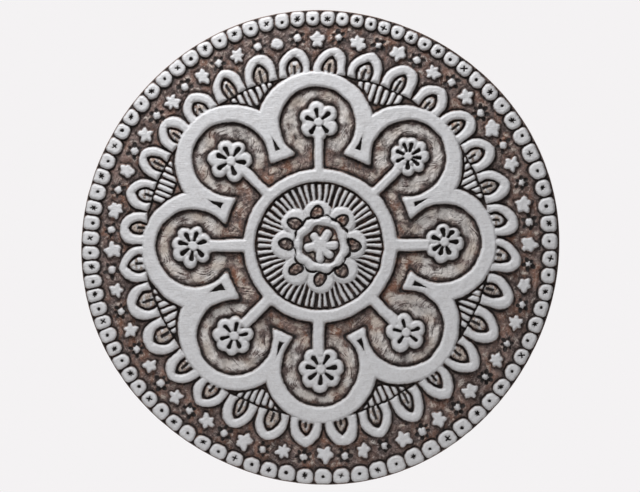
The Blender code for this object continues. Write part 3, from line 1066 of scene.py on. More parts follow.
@dataclass(frozen=True)
class Hub(Family):
    """The hub ring, with a spoke to each rosette."""

    starts: ClassVar[float] = 40
    ends: ClassVar[float] = 90
    hand: CarversHand = CarversHand()
    height: float = 3.5
    shoulder: float = 2.0
    outer: float = 58.1
    outer_right: float = 0.95
    inner: float = 48.6
    inner_right: float = -0.2
    spoke_end: float = 84
    spoke_widths: tuple[float, ...] = (6.6, 6.8, 8.8, 8.2, 8.8, 8.1, 9.4, 7.0)
    spoke_offsets: tuple[float, ...] = (-0.5, 1.0, -0.7, 0.3, 0.7, -1.6, 0.2, 0)
    fillet: float = 2.2

    def carve(self, spots: Spots, face: Face) -> None:
        """Raises the ring, blended with bars along the axes through the hub's own middle.

        Args:
            spots: The places of the face.
            face: The face to carve.
        """
        right, up = spots.cut_right - self.hand.hub_right, spots.cut_up - self.hand.hub_up
        lobe, across, out = sector(np.hypot(right, up), np.arctan2(right, up), LOBES)
        across = across - np.take(self.spoke_offsets, lobe)
        in_outer = self.outer - np.hypot(spots.drawn_right - self.outer_right, spots.drawn_up)
        in_inner = self.inner - np.hypot(spots.drawn_right - self.inner_right, spots.drawn_up)
        bar = np.take(self.spoke_widths, lobe) / 2 - np.abs(across)
        bar = np.minimum(bar, self.spoke_end - out)
        spoke = np.minimum(bar, out - (self.inner + self.outer) / 2)
        ring = np.minimum(in_outer, -in_inner)
        face.raise_form(blended(ring, spoke, self.fillet), self.height, self.shoulder)


@dataclass(frozen=True)
class Rosette:
    """One flower at the end of a spoke.

    Attributes:
        right: How far it is carved to the right of its court's middle.
        up: How far above it.
        slot_width: Half a slot's width at its outer end.
        petals: The petals' angles in degrees.
        tips: From the middle to the petals' ends.
        slots: The angles of the drop-shaped slots in degrees.
    """

    right: float
    up: float
    slot_width: float
    petals: tuple[float, ...]
    tips: tuple[float, ...]
    slots: tuple[float, ...]

    height: ClassVar[float] = 3.3
    shoulder: ClassVar[float] = 2.2
    boss_radius: ClassVar[float] = 3.2
    core: ClassVar[float] = 6.2
    overlap: ClassVar[float] = 1.26
    slot_start: ClassVar[float] = 0.29
    slot_end: ClassVar[float] = 0.61
    slot_start_width: ClassVar[float] = 0.95
    slot_depth: ClassVar[float] = 2.6

    def carve(self, right: Array, up: Array, face: Face) -> None:
        """Raises round petals round a boss, and cuts slots that widen outwards.

        A petal's circle is so large that neighbours meet in a notch of some two millimetres.

        Args:
            right: Places to the right of the court's middle.
            up: Places above it.
            face: The face to carve.
        """
        right, up = right - self.right, up - self.up
        away = np.hypot(right, up)
        share = self.overlap * math.sin(math.pi / len(self.petals))
        inside = min(self.tips) - self.core - away
        for angle, tip in zip(self.petals, self.tips):
            radius = tip * share / (1 + share)
            middle_right, middle_up = polar(tip - radius, math.radians(angle))
            petal = radius - np.hypot(right - middle_right, up - middle_up)
            inside = blended(inside, petal, 1.3)
        face.raise_form(inside, self.height, self.shoulder)
        mean_tip = sum(self.tips) / len(self.tips)
        for angle in self.slots:
            start = polar(self.slot_start * mean_tip, math.radians(angle))
            end = polar(self.slot_end * mean_tip, math.radians(angle))
            widths = (self.slot_start_width, self.slot_width)
            face.sink(in_stroke(right, up, start, end, widths), self.slot_depth, 0.7, 1.1)
        # A groove round the boss, whose paint is darkened as painted shade
        moat = bell(away - self.boss_radius - 0.6, 0.7)
        face.height = face.height - 0.8 * moat
        face.lift(soil=0.45 * moat)


@dataclass(frozen=True)
class Rosettes(Family):
    """The flowers in the courts, clockwise from the top."""

    starts: ClassVar[float] = 70
    ends: ClassVar[float] = 112
    ring: float = LobedBand().court_centre
    flowers: tuple[Rosette, ...] = (
        Rosette(
            right=1.8, up=0.1, slot_width=1.8,
            petals=(-7, 53, 119, 180, 238, 296),
            tips=(16.0, 15.6, 15.2, 14.0, 14.6, 15.0),
            slots=(-9, 50, 142, 218, 290),
        ),
        Rosette(
            right=1.3, up=0.1, slot_width=1.5,
            petals=(-16, 17, 55, 92, 136, 185, 225, 260, 292),
            tips=(14.2, 14.4, 15.2, 15.8, 15.0, 15.0, 14.0, 13.6, 13.6),
            slots=(-20, 15, 61, 101, 134, 185, 246, 293),
        ),
        Rosette(
            right=1.0, up=0.1, slot_width=1.85,
            petals=(-5, 50, 100, 150, 194, 237, 294),
            tips=(13.9, 13.6, 15.0, 15.4, 16.2, 15.4, 14.6),
            slots=(-6, 39, 94, 160, 200, 236, 295),
        ),
        Rosette(
            right=0.9, up=-2.1, slot_width=1.4,
            petals=(-12, 68, 132, 214, 277),
            tips=(15.2, 14.8, 15.0, 16.2, 16.0),
            slots=(-13, 70, 130, 220, 283),
        ),
        Rosette(
            right=0.5, up=0.4, slot_width=1.85,
            petals=(-38, 34, 84, 131, 184, 229, 274),
            tips=(17.4, 17.2, 17.3, 17.0, 17.8, 17.2, 17.4),
            slots=(-36, 28, 83, 131, 184, 232, 280),
        ),
        Rosette(
            right=-0.2, up=0.7, slot_width=1.6,
            petals=(-40, 10, 83, 140, 190, 233, 276),
            tips=(15.4, 14.8, 15.0, 15.2, 14.6, 15.2, 15.8),
            slots=(-42, 16, 82, 153, 205, 259),
        ),
        Rosette(
            right=0.4, up=-1.5, slot_width=1.85,
            petals=(-37, 14, 60, 95, 130, 189, 240, 277),
            tips=(15.6, 14.8, 14.4, 14.6, 15.0, 16.2, 16.2, 15.8),
            slots=(-33, 17, 67, 131, 185, 234, 283),
        ),
        Rosette(
            right=1.6, up=-2.0, slot_width=1.85,
            petals=(-20, 31, 88, 132, 166, 233, 280),
            tips=(16.4, 15.4, 15.6, 15.0, 16.2, 16.6, 17.4),
            slots=(-24, 34, 97, 166, 236, 294),
        ),
    )

    def carve(self, spots: Spots, face: Face) -> None:
        """Carves each flower about the middle of its court.

        Args:
            spots: The places of the face.
            face: The face to carve.
        """
        for lobe, flower in enumerate(self.flowers):
            right, up = polar(self.ring, lobe * LOBE_ANGLE)
            flower.carve(spots.drawn_right - right, spots.drawn_up - up, face)


@dataclass(frozen=True)
class Rays(Family):
    """The rays inside the hub ring."""

    ends: ClassVar[float] = 50
    seed: int = 61
    count: int = 56
    height: float = 2.0
    shoulder: float = 1.3
    start: float = 24
    end: float = 46.9
    root_width: float = 1.6
    width: float = 2.7
    paint: float = 0.78

    def carve(self, spots: Spots, face: Face) -> None:
        """Raises bars that widen evenly as they go out.

        Args:
            spots: The places of the face.
            face: The face to carve.
        """
        number, across, out = sector(spots.radius, spots.angle, self.count)
        chance = Chance(np.random.default_rng(self.seed), number, self.count)
        across = across + chance.spread(0.25)
        width = self.root_width + (self.width - self.root_width) * eased(out, 28, self.end)
        width = width * chance.between(0.84, 1.1)
        inside = np.minimum(width / 2 - np.abs(across), self.end + chance.spread(0.3) - out)
        inside = np.where(spots.radius > self.start, inside, NOWHERE)
        face.raise_form(inside, self.height, self.shoulder, self.paint)


@dataclass(frozen=True)
class Medallion(Family):
    """The lobes round a disc, with an eye in each lobe."""

    ends: ClassVar[float] = 50
    angles: tuple[float, ...] = (-3, 41, 87, 134, 178, 222, 272, 314)
    tips: tuple[float, ...] = (35.0, 36.0, 36.2, 36.6, 36.0, 36.6, 36.8, 35.6)
    lobe_radius: float = 11.2
    disc_radius: float = 28.4
    height: float = 2.9
    shoulder: float = 2.9
    valley_depth: float = 1.0
    eye_seed: int = 62
    eye_angles: tuple[float, ...] = (-4, 42, 89, 138, 179, 225, 273, 312)
    eye_middles: tuple[float, ...] = (25.2, 26.0, 25.8, 25.2, 25.2, 25.2, 25.2, 25.4)
    eye_length: float = 6.0
    eye_width: float = 5.2
    eye_depth: float = 2.1
    kernel_in: float = 1.05
    kernel_height: float = 1.6
    kernel_creases: Ripple = Ripple(0.5, 3.6, 63)

    def carve(self, spots: Spots, face: Face) -> None:
        """Raises the lobes and the disc, with a soft valley inwards from each notch.

        Args:
            spots: The places of the face.
            face: The face to carve.
        """
        right, up = spots.drawn_right, spots.drawn_up
        lobes, seam = round_lobes(right, up, self.angles, self.tips, self.lobe_radius)
        inside = np.maximum(lobes, self.disc_radius - spots.radius)
        face.raise_form(inside, self.height, self.shoulder)
        valley = bell(seam, 2.2) * eased(spots.radius, 21, 27) * eased(inside, 0, 2)
        face.height = face.height - self.valley_depth * valley
        # Painted shade darkens the paint in the valleys; all over the medallion the paint takes a
        # slight stain
        face.lift(soil=0.05 + 0.3 * valley * (lobes > 0))
        creases = eased(self.kernel_creases.at(right, up), -0.5, 0.5)
        draw = np.random.default_rng(self.eye_seed)
        for angle, middle in zip(self.eye_angles, self.eye_middles):
            across, out = turned(right, up, math.radians(angle))
            out = out - middle
            across = across + draw.normal(0, 0.14) * out
            # An eye is egg-shaped: narrower as it goes out
            wide = self.eye_width * draw.uniform(0.9, 1.06) - 0.13 * out
            eye = (1 - np.hypot(across / wide, out / self.eye_length)) * self.eye_width
            self._cut_eye(eye, creases, face)

    def _cut_eye(self, eye: Array, creases: Array, face: Face) -> None:
        """Cuts an eye with a kernel in it.

        Args:
            eye: Distance inside the eye.
            creases: Where the kernels are creased, from 0 to 1.
            face: The face to cut.
        """
        face.sink(eye, self.eye_depth, 1.0, 0.9)
        kernel = eye - self.kernel_in
        on_kernel = eased(kernel, -0.3, 0.7)
        rise = self.kernel_height - 0.6 * creases
        face.height = face.height + rise * eased(kernel, -0.5, 1.5)
        face.hollow = face.hollow * (1 - (0.95 - 0.35 * creases) * on_kernel)
        face.rub = face.rub + (0.6 - 0.4 * creases - face.rub) * on_kernel
        face.lift(warm=on_kernel)


@dataclass(frozen=True)
class Tier(Family):
    """The ring of small lobes on the medallion, round a sunk and stained middle."""

    ends: ClassVar[float] = 50
    right: float = 1.6
    up: float = 1.0
    angles: tuple[float, ...] = (8, 38, 66, 103, 134, 168, 205, 237, 272, 303, 330)
    tips: tuple[float, ...] = (21.4, 20.6, 20.8, 21.4, 21.2, 22.0, 21.2, 21.8, 21.0, 20.8, 21.4)
    lobe_radius: float = 6.0
    disc_radius: float = 19.6
    height: float = 3.6
    groove_end: float = 29
    groove_half_width: float = 0.62
    groove_wander: Ripple = Ripple(0.3, 9, 64)
    groove_depth: float = 1.7
    sunk_radius: float = 14.5
    sunk_depth: float = 2.9
    rub_patches: Ripple = Ripple(0.35, 6, 65)

    def carve(self, spots: Spots, face: Face) -> None:
        """Cuts a groove at the tier's foot, raises the tier, and slopes its middle down.

        Args:
            spots: The places of the face.
            face: The face to carve.
        """
        right, up = spots.drawn_right - self.right, spots.drawn_up - self.up
        away = np.hypot(right, up)
        lobes, seam = round_lobes(right, up, self.angles, self.tips, self.lobe_radius)
        tier = np.maximum(lobes, self.disc_radius - away)
        half = self.groove_half_width + self.groove_wander.at(right, up)
        groove = half - np.abs(tier + 0.9)
        groove = np.where(spots.radius < self.groove_end, groove, NOWHERE)
        face.sink(groove, self.groove_depth, 0.7, 0.95)
        part = np.clip((tier + 0.3) / 3.0, 0, 1)
        height = self.height * (1 - 0.55 * (1 - part) ** 2.0)
        height = height - 0.16 * bell(seam, 1.2) * eased(tier, 0, 1)
        face.lay_over(tier, height, eased(tier, -0.8, -0.3), eased(tier, -0.4, 0.2))
        wave = 0.6 * np.cos(7 * spots.angle + 1) + 0.7 * np.cos(3 * spots.angle - 1)
        sunk = self.sunk_radius + wave - away
        face.height = face.height - self.sunk_depth * eased(sunk, -2.6, 1.2)
        face.edge = np.minimum(face.edge, 0.2 - sunk)
        face.lift(hollow=0.5 * bell(sunk - 1.2, 0.9))
        face.rub = np.where(sunk > 0, 0.4 + self.rub_patches.at(right, up), face.rub)
        face.warm = np.where(sunk > -1, 1.2, face.warm)


@dataclass(frozen=True)
class Flower(Family):
    """The small flower in the sunk middle: six fingers round a boss."""

    ends: ClassVar[float] = 50
    right: float = 0.6
    up: float = 0.4
    boss_radius: float = 6.4
    angles: tuple[float, ...] = (-34, 32, 90, 135, 181, 259)
    tips: tuple[float, ...] = (11.2, 13.9, 13.6, 12.8, 13.2, 12.6)
    start: float = 2.5
    radii: tuple[float, float] = (2.9, 3.1)
    foot_height: float = 0.9
    height: float = 2.6

    def carve(self, spots: Spots, face: Face) -> None:
        """Raises the fingers, wider at their ends, with a dark line round them.

        Args:
            spots: The places of the face.
            face: The face to carve.
        """
        right, up = spots.drawn_right - self.right, spots.drawn_up - self.up
        inside = self.boss_radius - np.hypot(right, up)
        for angle, tip in zip(self.angles, self.tips):
            start = polar(self.start, math.radians(angle))
            end = polar(tip - self.radii[1], math.radians(angle))
            inside = blended(inside, in_stroke(right, up, start, end, self.radii), 0.9)
        on_flower = eased(inside, -0.35, 0.1)
        line = 0.95 * bell(inside + 0.75, 0.65) * (1 - on_flower)
        face.lift(hollow=line)
        face.height = face.height - 0.4 * line
        part = np.clip((inside + 0.3) / 2.5, 0, 1)
        height = self.foot_height + self.height * (1 - (1 - part) ** 2.2)
        face.lay_over(inside, height, on_flower, eased(inside, -0.3, 0.2))


@dataclass(frozen=True)
class Mandala:
    """The whole ornament, family by family from the border to the middle."""

    hand: CarversHand = CarversHand()
    band: LobedBand = LobedBand()
    stars: StarsAndDots = StarsAndDots()
    families: tuple[Family, ...] = (
        Beads(),
        StarsAndDots(),
        Petals(),
        HatchedWedges(),
        LobedBand(),
        Hub(),
        Rosettes(),
        Rays(),
        Medallion(),
        Tier(),
        Flower(),
    )
    inside_hub: float = 47.5
    outside_hub: float = 61.6
    into_band: float = 5
    past_petals: float = 151.9
    past_petals_wave: float = 1.4
    edge_round: float = 0.7

    def seams(self, angle: Array) -> tuple[Array, ...]:
        """The radii of the lines between the pieces at an angle, from the middle to the rim.

        One runs along the top of the band, and one winds between the petals and the stars.

        Args:
            angle: The columns' angles.

        Returns:
            The radii of each line.
        """
        wave = np.cos(self.stars.count * (angle - self.stars.dot_angle(0)))
        return (
            0 * angle,
            self.inside_hub + 0 * angle,
            self.outside_hub + 0 * angle,
            self.band.edge_radius(angle) - self.into_band,
            self.past_petals + self.past_petals_wave * wave,
            BORDER_START + 0 * angle,
            self.hand.rim(angle) - self.edge_round,
        )

    def carve(self, radius: Array, angle: Array) -> tuple[Spots, Face]:
        """The places and the face at a grid of the even drawing.

        Args:
            radius: Radii in the even drawing.
            angle: Angles in the even drawing.

        Returns:
            The places, and what is carved and painted there.
        """
        spots = self.hand.spots(radius, angle)
        face = Face.plain(spots)
        for family in self.families:
            if family.meets(radius):
                family.carve(spots, face)
        face.settle_ground(spots)
        face.finish(spots)
        return spots, face


# Meshes


def out_of_wall(right: Array, height: Array | float, up: Array) -> Array:
    """Points in the row frame from places on the face and their height over the back."""
    return np.stack([right, -np.broadcast_to(height, right.shape), up], axis=-1)


def even_angles(columns: int) -> Array:
    """The angles of the columns of a grid, clockwise from the top."""
    return TURN * np.arange(columns)[None, :] / columns


def in_scene(name: str, data: bpy.types.ID) -> bpy.types.Object:
    """A new object in the scene that shows a mesh, a light or a camera.

    Args:
        name: Its name.
        data: What it shows.

    Returns:
        The object.
    """
    thing = bpy.data.objects.new(name, data)
    bpy.context.scene.collection.objects.link(thing)
    return thing


@dataclass
class Skin:
    """A closed surface of rows of points that run clockwise, in millimetres.

    Attributes:
        name: The piece's name.
        rows: Right, out of the wall and up of each point, by row and column.
        poles: The points that close the first and the last row, or none where the last row
            joins the first.
        marks: Numbers for the material at each point, by name.
        plain_from: The first of the bands of faces that are unglazed.
        hidden_rows: The bands of faces that lie inside the tile.
        crease_rows: The rows at which the surface turns sharply.
        strips: How many strips the surface is cut into on its map.
    """

    name: str
    rows: Array
    poles: Array | None
    marks: dict[str, Array]
    plain_from: int
    hidden_rows: list[int]
    crease_rows: list[int]
    strips: int

    strip_margin: ClassVar[float] = 0.01
    column_margin: ClassVar[float] = 0.004

    def build(self) -> bpy.types.Object:
        """Makes the mesh object, with its marks, creases and map.

        Returns:
            The piece.
        """
        row_count, columns = self.rows.shape[:2]
        points = self.rows.reshape(-1, 3)
        here = np.arange(row_count * columns).reshape(row_count, columns)
        after = np.roll(here, -1, axis=1)
        quads = np.stack([here, after, np.roll(after, -1, 0), np.roll(here, -1, 0)], axis=-1)
        fans = []
        if self.poles is not None:
            quads = quads[:-1]
            first = np.full(columns, row_count * columns)
            start = np.stack([first, after[0], here[0]], axis=-1)
            end = np.stack([here[-1], after[-1], first + 1], axis=-1)
            fans = [*start.tolist(), *end.tolist()]
            points = np.concatenate([points, self.poles])
        mesh = bpy.data.meshes.new(self.name)
        faces = quads.reshape(-1, 4).tolist() + fans
        mesh.from_pydata((points * MM).tolist(), [], faces, shade_flat=False)
        bands = np.repeat(np.arange(len(quads)), columns)
        if self.poles is not None:
            bands = np.concatenate([bands, np.zeros(columns, int), np.full(columns, row_count)])
        mesh.polygons.foreach_set("material_index", (bands >= self.plain_from).astype(np.int32))
        self._crease(mesh, columns)
        self._lay_map(mesh, len(quads))
        self._write_marks(mesh)
        return in_scene(self.name, mesh)

    def _crease(self, mesh: bpy.types.Mesh, columns: int) -> None:
        """Marks the edges along the crease rows as sharp.

        Args:
            mesh: The mesh.
            columns: How many columns of points it has.
        """
        ends = np.zeros(len(mesh.edges) * 2, np.int32)
        mesh.edges.foreach_get("vertices", ends)
        rows = ends.reshape(-1, 2) // columns
        along = (rows[:, 0] == rows[:, 1]) & np.isin(rows[:, 0], self.crease_rows)
        mesh.attributes.new("sharp_edge", "BOOLEAN", "EDGE").data.foreach_set("value", along)

    def _write_marks(self, mesh: bpy.types.Mesh) -> None:
        """Writes each mark as an attribute of the points; the poles take their row's first."""
        for name, values in self.marks.items():
            width = values.shape[2] if values.ndim == 3 else 1
            table = values.reshape(-1, width)
            if self.poles is not None:
                caps = values[[0, -1], 0].reshape(-1, width)
                table = np.concatenate([table, caps])
            kind, key = ("FLOAT_VECTOR", "vector") if width == 3 else ("FLOAT", "value")
            layer = mesh.attributes.new(name, kind, "POINT")
            layer.data.foreach_set(key, table.astype(np.float32).ravel())

    def _lay_map(self, mesh: bpy.types.Mesh, bands: int) -> None:
        """Lays the surface out in strips, one over the other, a little clear of each other.

        Along a strip the map follows the columns, and across it the rows by their true widths,
        with the hidden ones narrowed to a tenth.

        Args:
            mesh: The mesh that gets the map.
            bands: How many bands of four-sided faces it has.
        """
        columns = self.rows.shape[1]
        step = np.linalg.norm(np.roll(self.rows, -1, axis=0) - self.rows, axis=-1).mean(axis=1)
        widths = step[:bands]
        widths = np.where(np.isin(np.arange(bands), self.hidden_rows), widths / 10, widths)
        if self.poles is not None:
            widths = np.concatenate([[widths[0]], widths, [widths[-1]]])
        across = np.concatenate([[0], np.cumsum(widths)]) / widths.sum()
        across = self.strip_margin + (1 - 2 * self.strip_margin) * across
        per_strip = columns // self.strips
        column = np.arange(columns)
        strip = column // per_strip
        scale = (1 - 2 * self.column_margin) / per_strip
        left = self.column_margin + scale * (column % per_strip)
        right = left + scale
        levels = (strip + across[:, None]) / self.strips
        body = levels if self.poles is None else levels[1:-1]
        low, high = body[:-1], body[1:]
        lefts, rights = np.broadcast_to(left, low.shape), np.broadcast_to(right, low.shape)
        places = [np.stack([lefts, low, rights, low, rights, high, lefts, high], axis=-1).ravel()]
        if self.poles is not None:
            middle = (left + right) / 2
            start = [middle, levels[0], right, levels[1], left, levels[1]]
            end = [left, levels[-2], right, levels[-2], middle, levels[-1]]
            places += [np.stack(fan, axis=-1).ravel() for fan in (start, end)]
        layer = mesh.uv_layers.new(name="OFBake")
        layer.uv.foreach_set("vector", np.concatenate(places).astype(np.float32))


@dataclass(frozen=True)
class FaceRing:
    """A ring of the face between two seams, with a wall on each side and a flat foot.

    Attributes:
        name: The piece's name.
        place: The number of the seam that it starts from.
        rows: How many rows of points run from seam to seam.
        columns: How many columns run round it.
        strips: How many strips its map has.
        hidden: The bands that lie inside the tile, from the one behind the face's last row.
        creased: The rows at which the surface turns sharply, from the face's last.
    """

    name: str
    place: int
    rows: int
    columns: int
    strips: int

    hidden: ClassVar[tuple[int, ...]] = (0, 1, 2)
    creased: ClassVar[tuple[int, ...]] = (0, 1, 2)

    def behind(self, spots: Spots, angle: Array, mandala: Mandala) -> list[Array]:
        """The rows behind the face: at the joint, under its outer and its inner seam.

        Args:
            spots: The places of the face.
            angle: The columns' angles, which only the border needs.
            mandala: The ornament, which only the border needs.

        Returns:
            The rows of points.
        """
        return [out_of_wall(spots.right[[row]], JOINT, spots.up[[row]]) for row in (-1, 0)]

    def build(self, mandala: Mandala) -> bpy.types.Object:
        """Builds the ring in even steps from seam to seam.

        Where the inner seam is the middle itself, its rows shrink to two poles.

        Args:
            mandala: The ornament that is carved on it.

        Returns:
            The piece.
        """
        angle = even_angles(self.columns)
        inner, outer = mandala.seams(angle)[self.place : self.place + 2]
        part = np.linspace(0, 1, self.rows)[:, None]
        spots, face = mandala.carve(inner * (1 - part) + outer * part, angle + 0 * part)
        top = out_of_wall(spots.right, GROUND + face.height, spots.up)
        points = np.concatenate([top, *self.behind(spots, angle, mandala)])
        has_poles = self.place == 0
        last = self.rows - 1 - has_poles
        creases = [last + row for row in self.creased]
        poles = None
        if has_poles:
            poles = points[[0, -1], 0]
            points = points[1:-1]
        else:
            creases.append(0)
        marks = face.marks(int(has_poles), len(points))
        hidden = [last + row for row in self.hidden]
        return Skin(self.name, points, poles, marks, last, hidden, creases, self.strips).build()


@dataclass(frozen=True)
class BeadBorder(FaceRing):
    """The border of beads, the rim's side and the outer strip of the back."""

    side_levels: tuple[float, ...] = (12.5, 10.5, 8, 5.5, 3, 1)
    side_cut: Ripple = Ripple(0.12, 22, 71)
    side_in: float = 0.05
    back_round: float = 0.2

    hidden: ClassVar[tuple[int, ...]] = (8,)
    creased: ClassVar[tuple[int, ...]] = (7, 8)

    def behind(self, spots: Spots, angle: Array, mandala: Mandala) -> list[Array]:
        """The rows behind the face: down the side, and inwards on the back to the back plate.

        Args:
            spots: The places of the face, which the side does not need.
            angle: The columns' angles.
            mandala: The ornament, with the hand that cut the rim.

        Returns:
            The rows of points.
        """
        rim = mandala.hand.rim(angle)
        levels = (*self.side_levels, 0.0, 0.0)
        cuts = [
            rim - np.abs(self.side_cut.at(rim * angle, level + 0 * angle)) - self.side_in
            for level in self.side_levels
        ]
        side = TURN / BACK_SIDES
        chord = math.cos(side / 2) / np.cos(angle % side - side / 2)
        back_edge = rim - mandala.edge_round - self.back_round
        radii = [*cuts, back_edge, BORDER_START * chord]
        places = [polar(radius, angle) for radius in radii]
        return [out_of_wall(right, level, up) for (right, up), level in zip(places, levels)]


@dataclass(frozen=True)
class BackPlate:
    """The back of the tile, with the nail pocket, and the hidden joint under the face."""

    pocket_radius: float = 5.5
    pocket_depth: float = 7.0
    pocket_slope: float = math.radians(20.0)
    pocket_up: float = 140.0
    back_rows: int = 16
    crowding: float = 1.4
    wall_rows: int = 4

    def build(self) -> bpy.types.Object:
        """Builds rows from the hidden middle over the edge and the back into the pocket.

        A row of the back lies between the edge and the pocket's mouth, at the same share of
        the way for each angle, and the rows crowd towards the edge. The pocket is a cylinder
        whose axis climbs as it goes in.

        Returns:
            The piece.
        """
        angle = even_angles(BACK_SIDES)
        edge_right, edge_up = polar(BORDER_START, angle)
        sine, cosine = math.sin(self.pocket_slope), math.cos(self.pocket_slope)
        round_right, round_up = polar(self.pocket_radius, angle)
        mouth_up = self.pocket_up + round_up / cosine
        rows = [out_of_wall(edge_right, JOINT, edge_up)]
        for part in np.linspace(0, 1, self.back_rows) ** self.crowding:
            right = edge_right + (round_right - edge_right) * part
            rows.append(out_of_wall(right, 0.0, edge_up + (mouth_up - edge_up) * part))
        start = round_up * sine / cosine
        end = self.pocket_depth / cosine
        for step in range(1, self.wall_rows + 1):
            way = start + (end - start) * step / self.wall_rows
            up = self.pocket_up + round_up * cosine + way * sine
            rows.append(out_of_wall(round_right, way * cosine - round_up * sine, up))
        points = np.concatenate(rows)
        poles = np.array([[0, -JOINT, 0], [0, -self.pocket_depth, self.pocket_up + end * sine]])
        creases = [0, 1, self.back_rows, len(points) - 1]
        return Skin("back_plate", points, poles, {}, 0, [0], creases, 2).build()


# Materials


class Wire:
    """A socket that carries a value or a colour, with the operators of numbers."""

    def __init__(self, board: "NodeBoard", socket: bpy.types.NodeSocket) -> None:
        """Holds the board and the output socket."""
        self.board = board
        self.socket = socket

    def _maths(self, operation: str, *values: "Wire | float") -> "Wire":
        """Adds a Math node for an operation on these values."""
        inputs = dict(enumerate(values))
        return self.board.add("ShaderNodeMath", {"operation": operation}, inputs)

    def __add__(self, other: "Wire | float") -> "Wire":
        """The sum."""
        return self._maths("ADD", self, other)

    def __sub__(self, other: "Wire | float") -> "Wire":
        """The difference."""
        return self._maths("SUBTRACT", self, other)

    def __rsub__(self, other: "Wire | float") -> "Wire":
        """The difference, the other way round."""
        return self._maths("SUBTRACT", other, self)

    def __mul__(self, other: "Wire | float") -> "Wire":
        """The product."""
        return self._maths("MULTIPLY", self, other)

    __radd__ = __add__
    __rmul__ = __mul__

    def clamped(self) -> "Wire":
        """The value held between 0 and 1."""
        return self._maths("MINIMUM", self._maths("MAXIMUM", self, 0.0), 1.0)

    def over(self, start: float, end: float) -> "Wire":
        """The share of the way from start to end, held between 0 and 1."""
        return ((self - start) * (1 / (end - start))).clamped()


class NodeBoard:
    """A node tree under construction."""

    def __init__(self, tree: bpy.types.NodeTree) -> None:
        """Clears a material's or the world's node tree."""
        self.tree = tree
        tree.nodes.clear()

    def _place(
        self, kind: str, settings: dict[str, object], inputs: dict[str | int, object]
    ) -> bpy.types.Node:
        """Places a node, with what is set on it first and then its sockets' values or wires.

        Args:
            kind: The node's type.
            settings: What is set on the node itself, first.
            inputs: Values or wires of its sockets, by name or number.

        Returns:
            The node.
        """
        node = self.tree.nodes.new(kind)
        for name, value in settings.items():
            setattr(node, name, value)
        for key, value in inputs.items():
            if isinstance(value, Wire):
                self.tree.links.new(value.socket, node.inputs[key])
            else:
                node.inputs[key].default_value = value
        return node

    def add(
        self,
        kind: str,
        settings: dict[str, object],
        inputs: dict[str | int, object],
        output: str | int = 0,
    ) -> Wire:
        """Adds a node.

        Args:
            kind: The node's type.
            settings: What is set on the node itself, first.
            inputs: Values or wires of its sockets, by name or number.
            output: The socket that the returned wire starts from.

        Returns:
            A wire from the output.
        """
        return Wire(self, self._place(kind, settings, inputs).outputs[output])

    def end(self, kind: str, surface: Wire) -> None:
        """Adds the node that the tree ends in, fed by a shader."""
        self._place(kind, {}, {"Surface": surface})

    def shade(self, inputs: dict[str | int, object]) -> None:
        """Ends the tree in a shader with these values or wires."""
        shader = self.add("ShaderNodeBsdfPrincipled", {}, inputs)
        self.end("ShaderNodeOutputMaterial", shader)

    def mark(self, name: str, output: str = "Fac") -> Wire:
        """A mark of the surface, from the attribute of that name."""
        return self.add("ShaderNodeAttribute", {"attribute_name": name}, {}, output)

    def places(self) -> Wire:
        """The places on the piece, in metres."""
        return self.add("ShaderNodeTexCoord", {}, {}, "Object")

    def noise(self, places: Wire, size: float, detail: float = 3.0, rough: float = 0.55) -> Wire:
        """Soft noise whose patches are about this large, in the units of the places."""
        inputs = {"Vector": places, "Scale": 1 / size, "Detail": detail, "Roughness": rough}
        return self.add("ShaderNodeTexNoise", {}, inputs, "Fac")

    def stretched(self, places: Wire, scale: tuple[float, float, float]) -> Wire:
        """The places, each multiplied by its scale."""
        settings = {"operation": "MULTIPLY"}
        return self.add("ShaderNodeVectorMath", settings, {0: places, 1: scale})

    def mixed(self, first: Wire | Colour, second: Wire | Colour, part: Wire | float) -> Wire:
        """A colour between two others."""
        inputs = {0: part, 6: first, 7: second}
        return self.add("ShaderNodeMix", {"data_type": "RGBA"}, inputs, 2)

    def bumped(self, height: Wire, strength: float, distance: float) -> Wire:
        """The normal over bumps of this height, which is up to the distance in metres."""
        inputs = {"Height": height, "Strength": strength, "Distance": distance}
        return self.add("ShaderNodeBump", {}, inputs)


@dataclass(frozen=True)
class Finish:
    """A finish of the tile or of the studio."""

    name: ClassVar[str] = "finish"

    def lay(self, board: NodeBoard) -> None:
        """Lays the finish's nodes on an empty board."""
        raise NotImplementedError

    def make(self) -> bpy.types.Material:
        """Makes the material.

        Returns:
            The material.
        """
        material = bpy.data.materials.new(self.name)
        material.use_nodes = True
        self.lay(NodeBoard(material.node_tree))
        return material


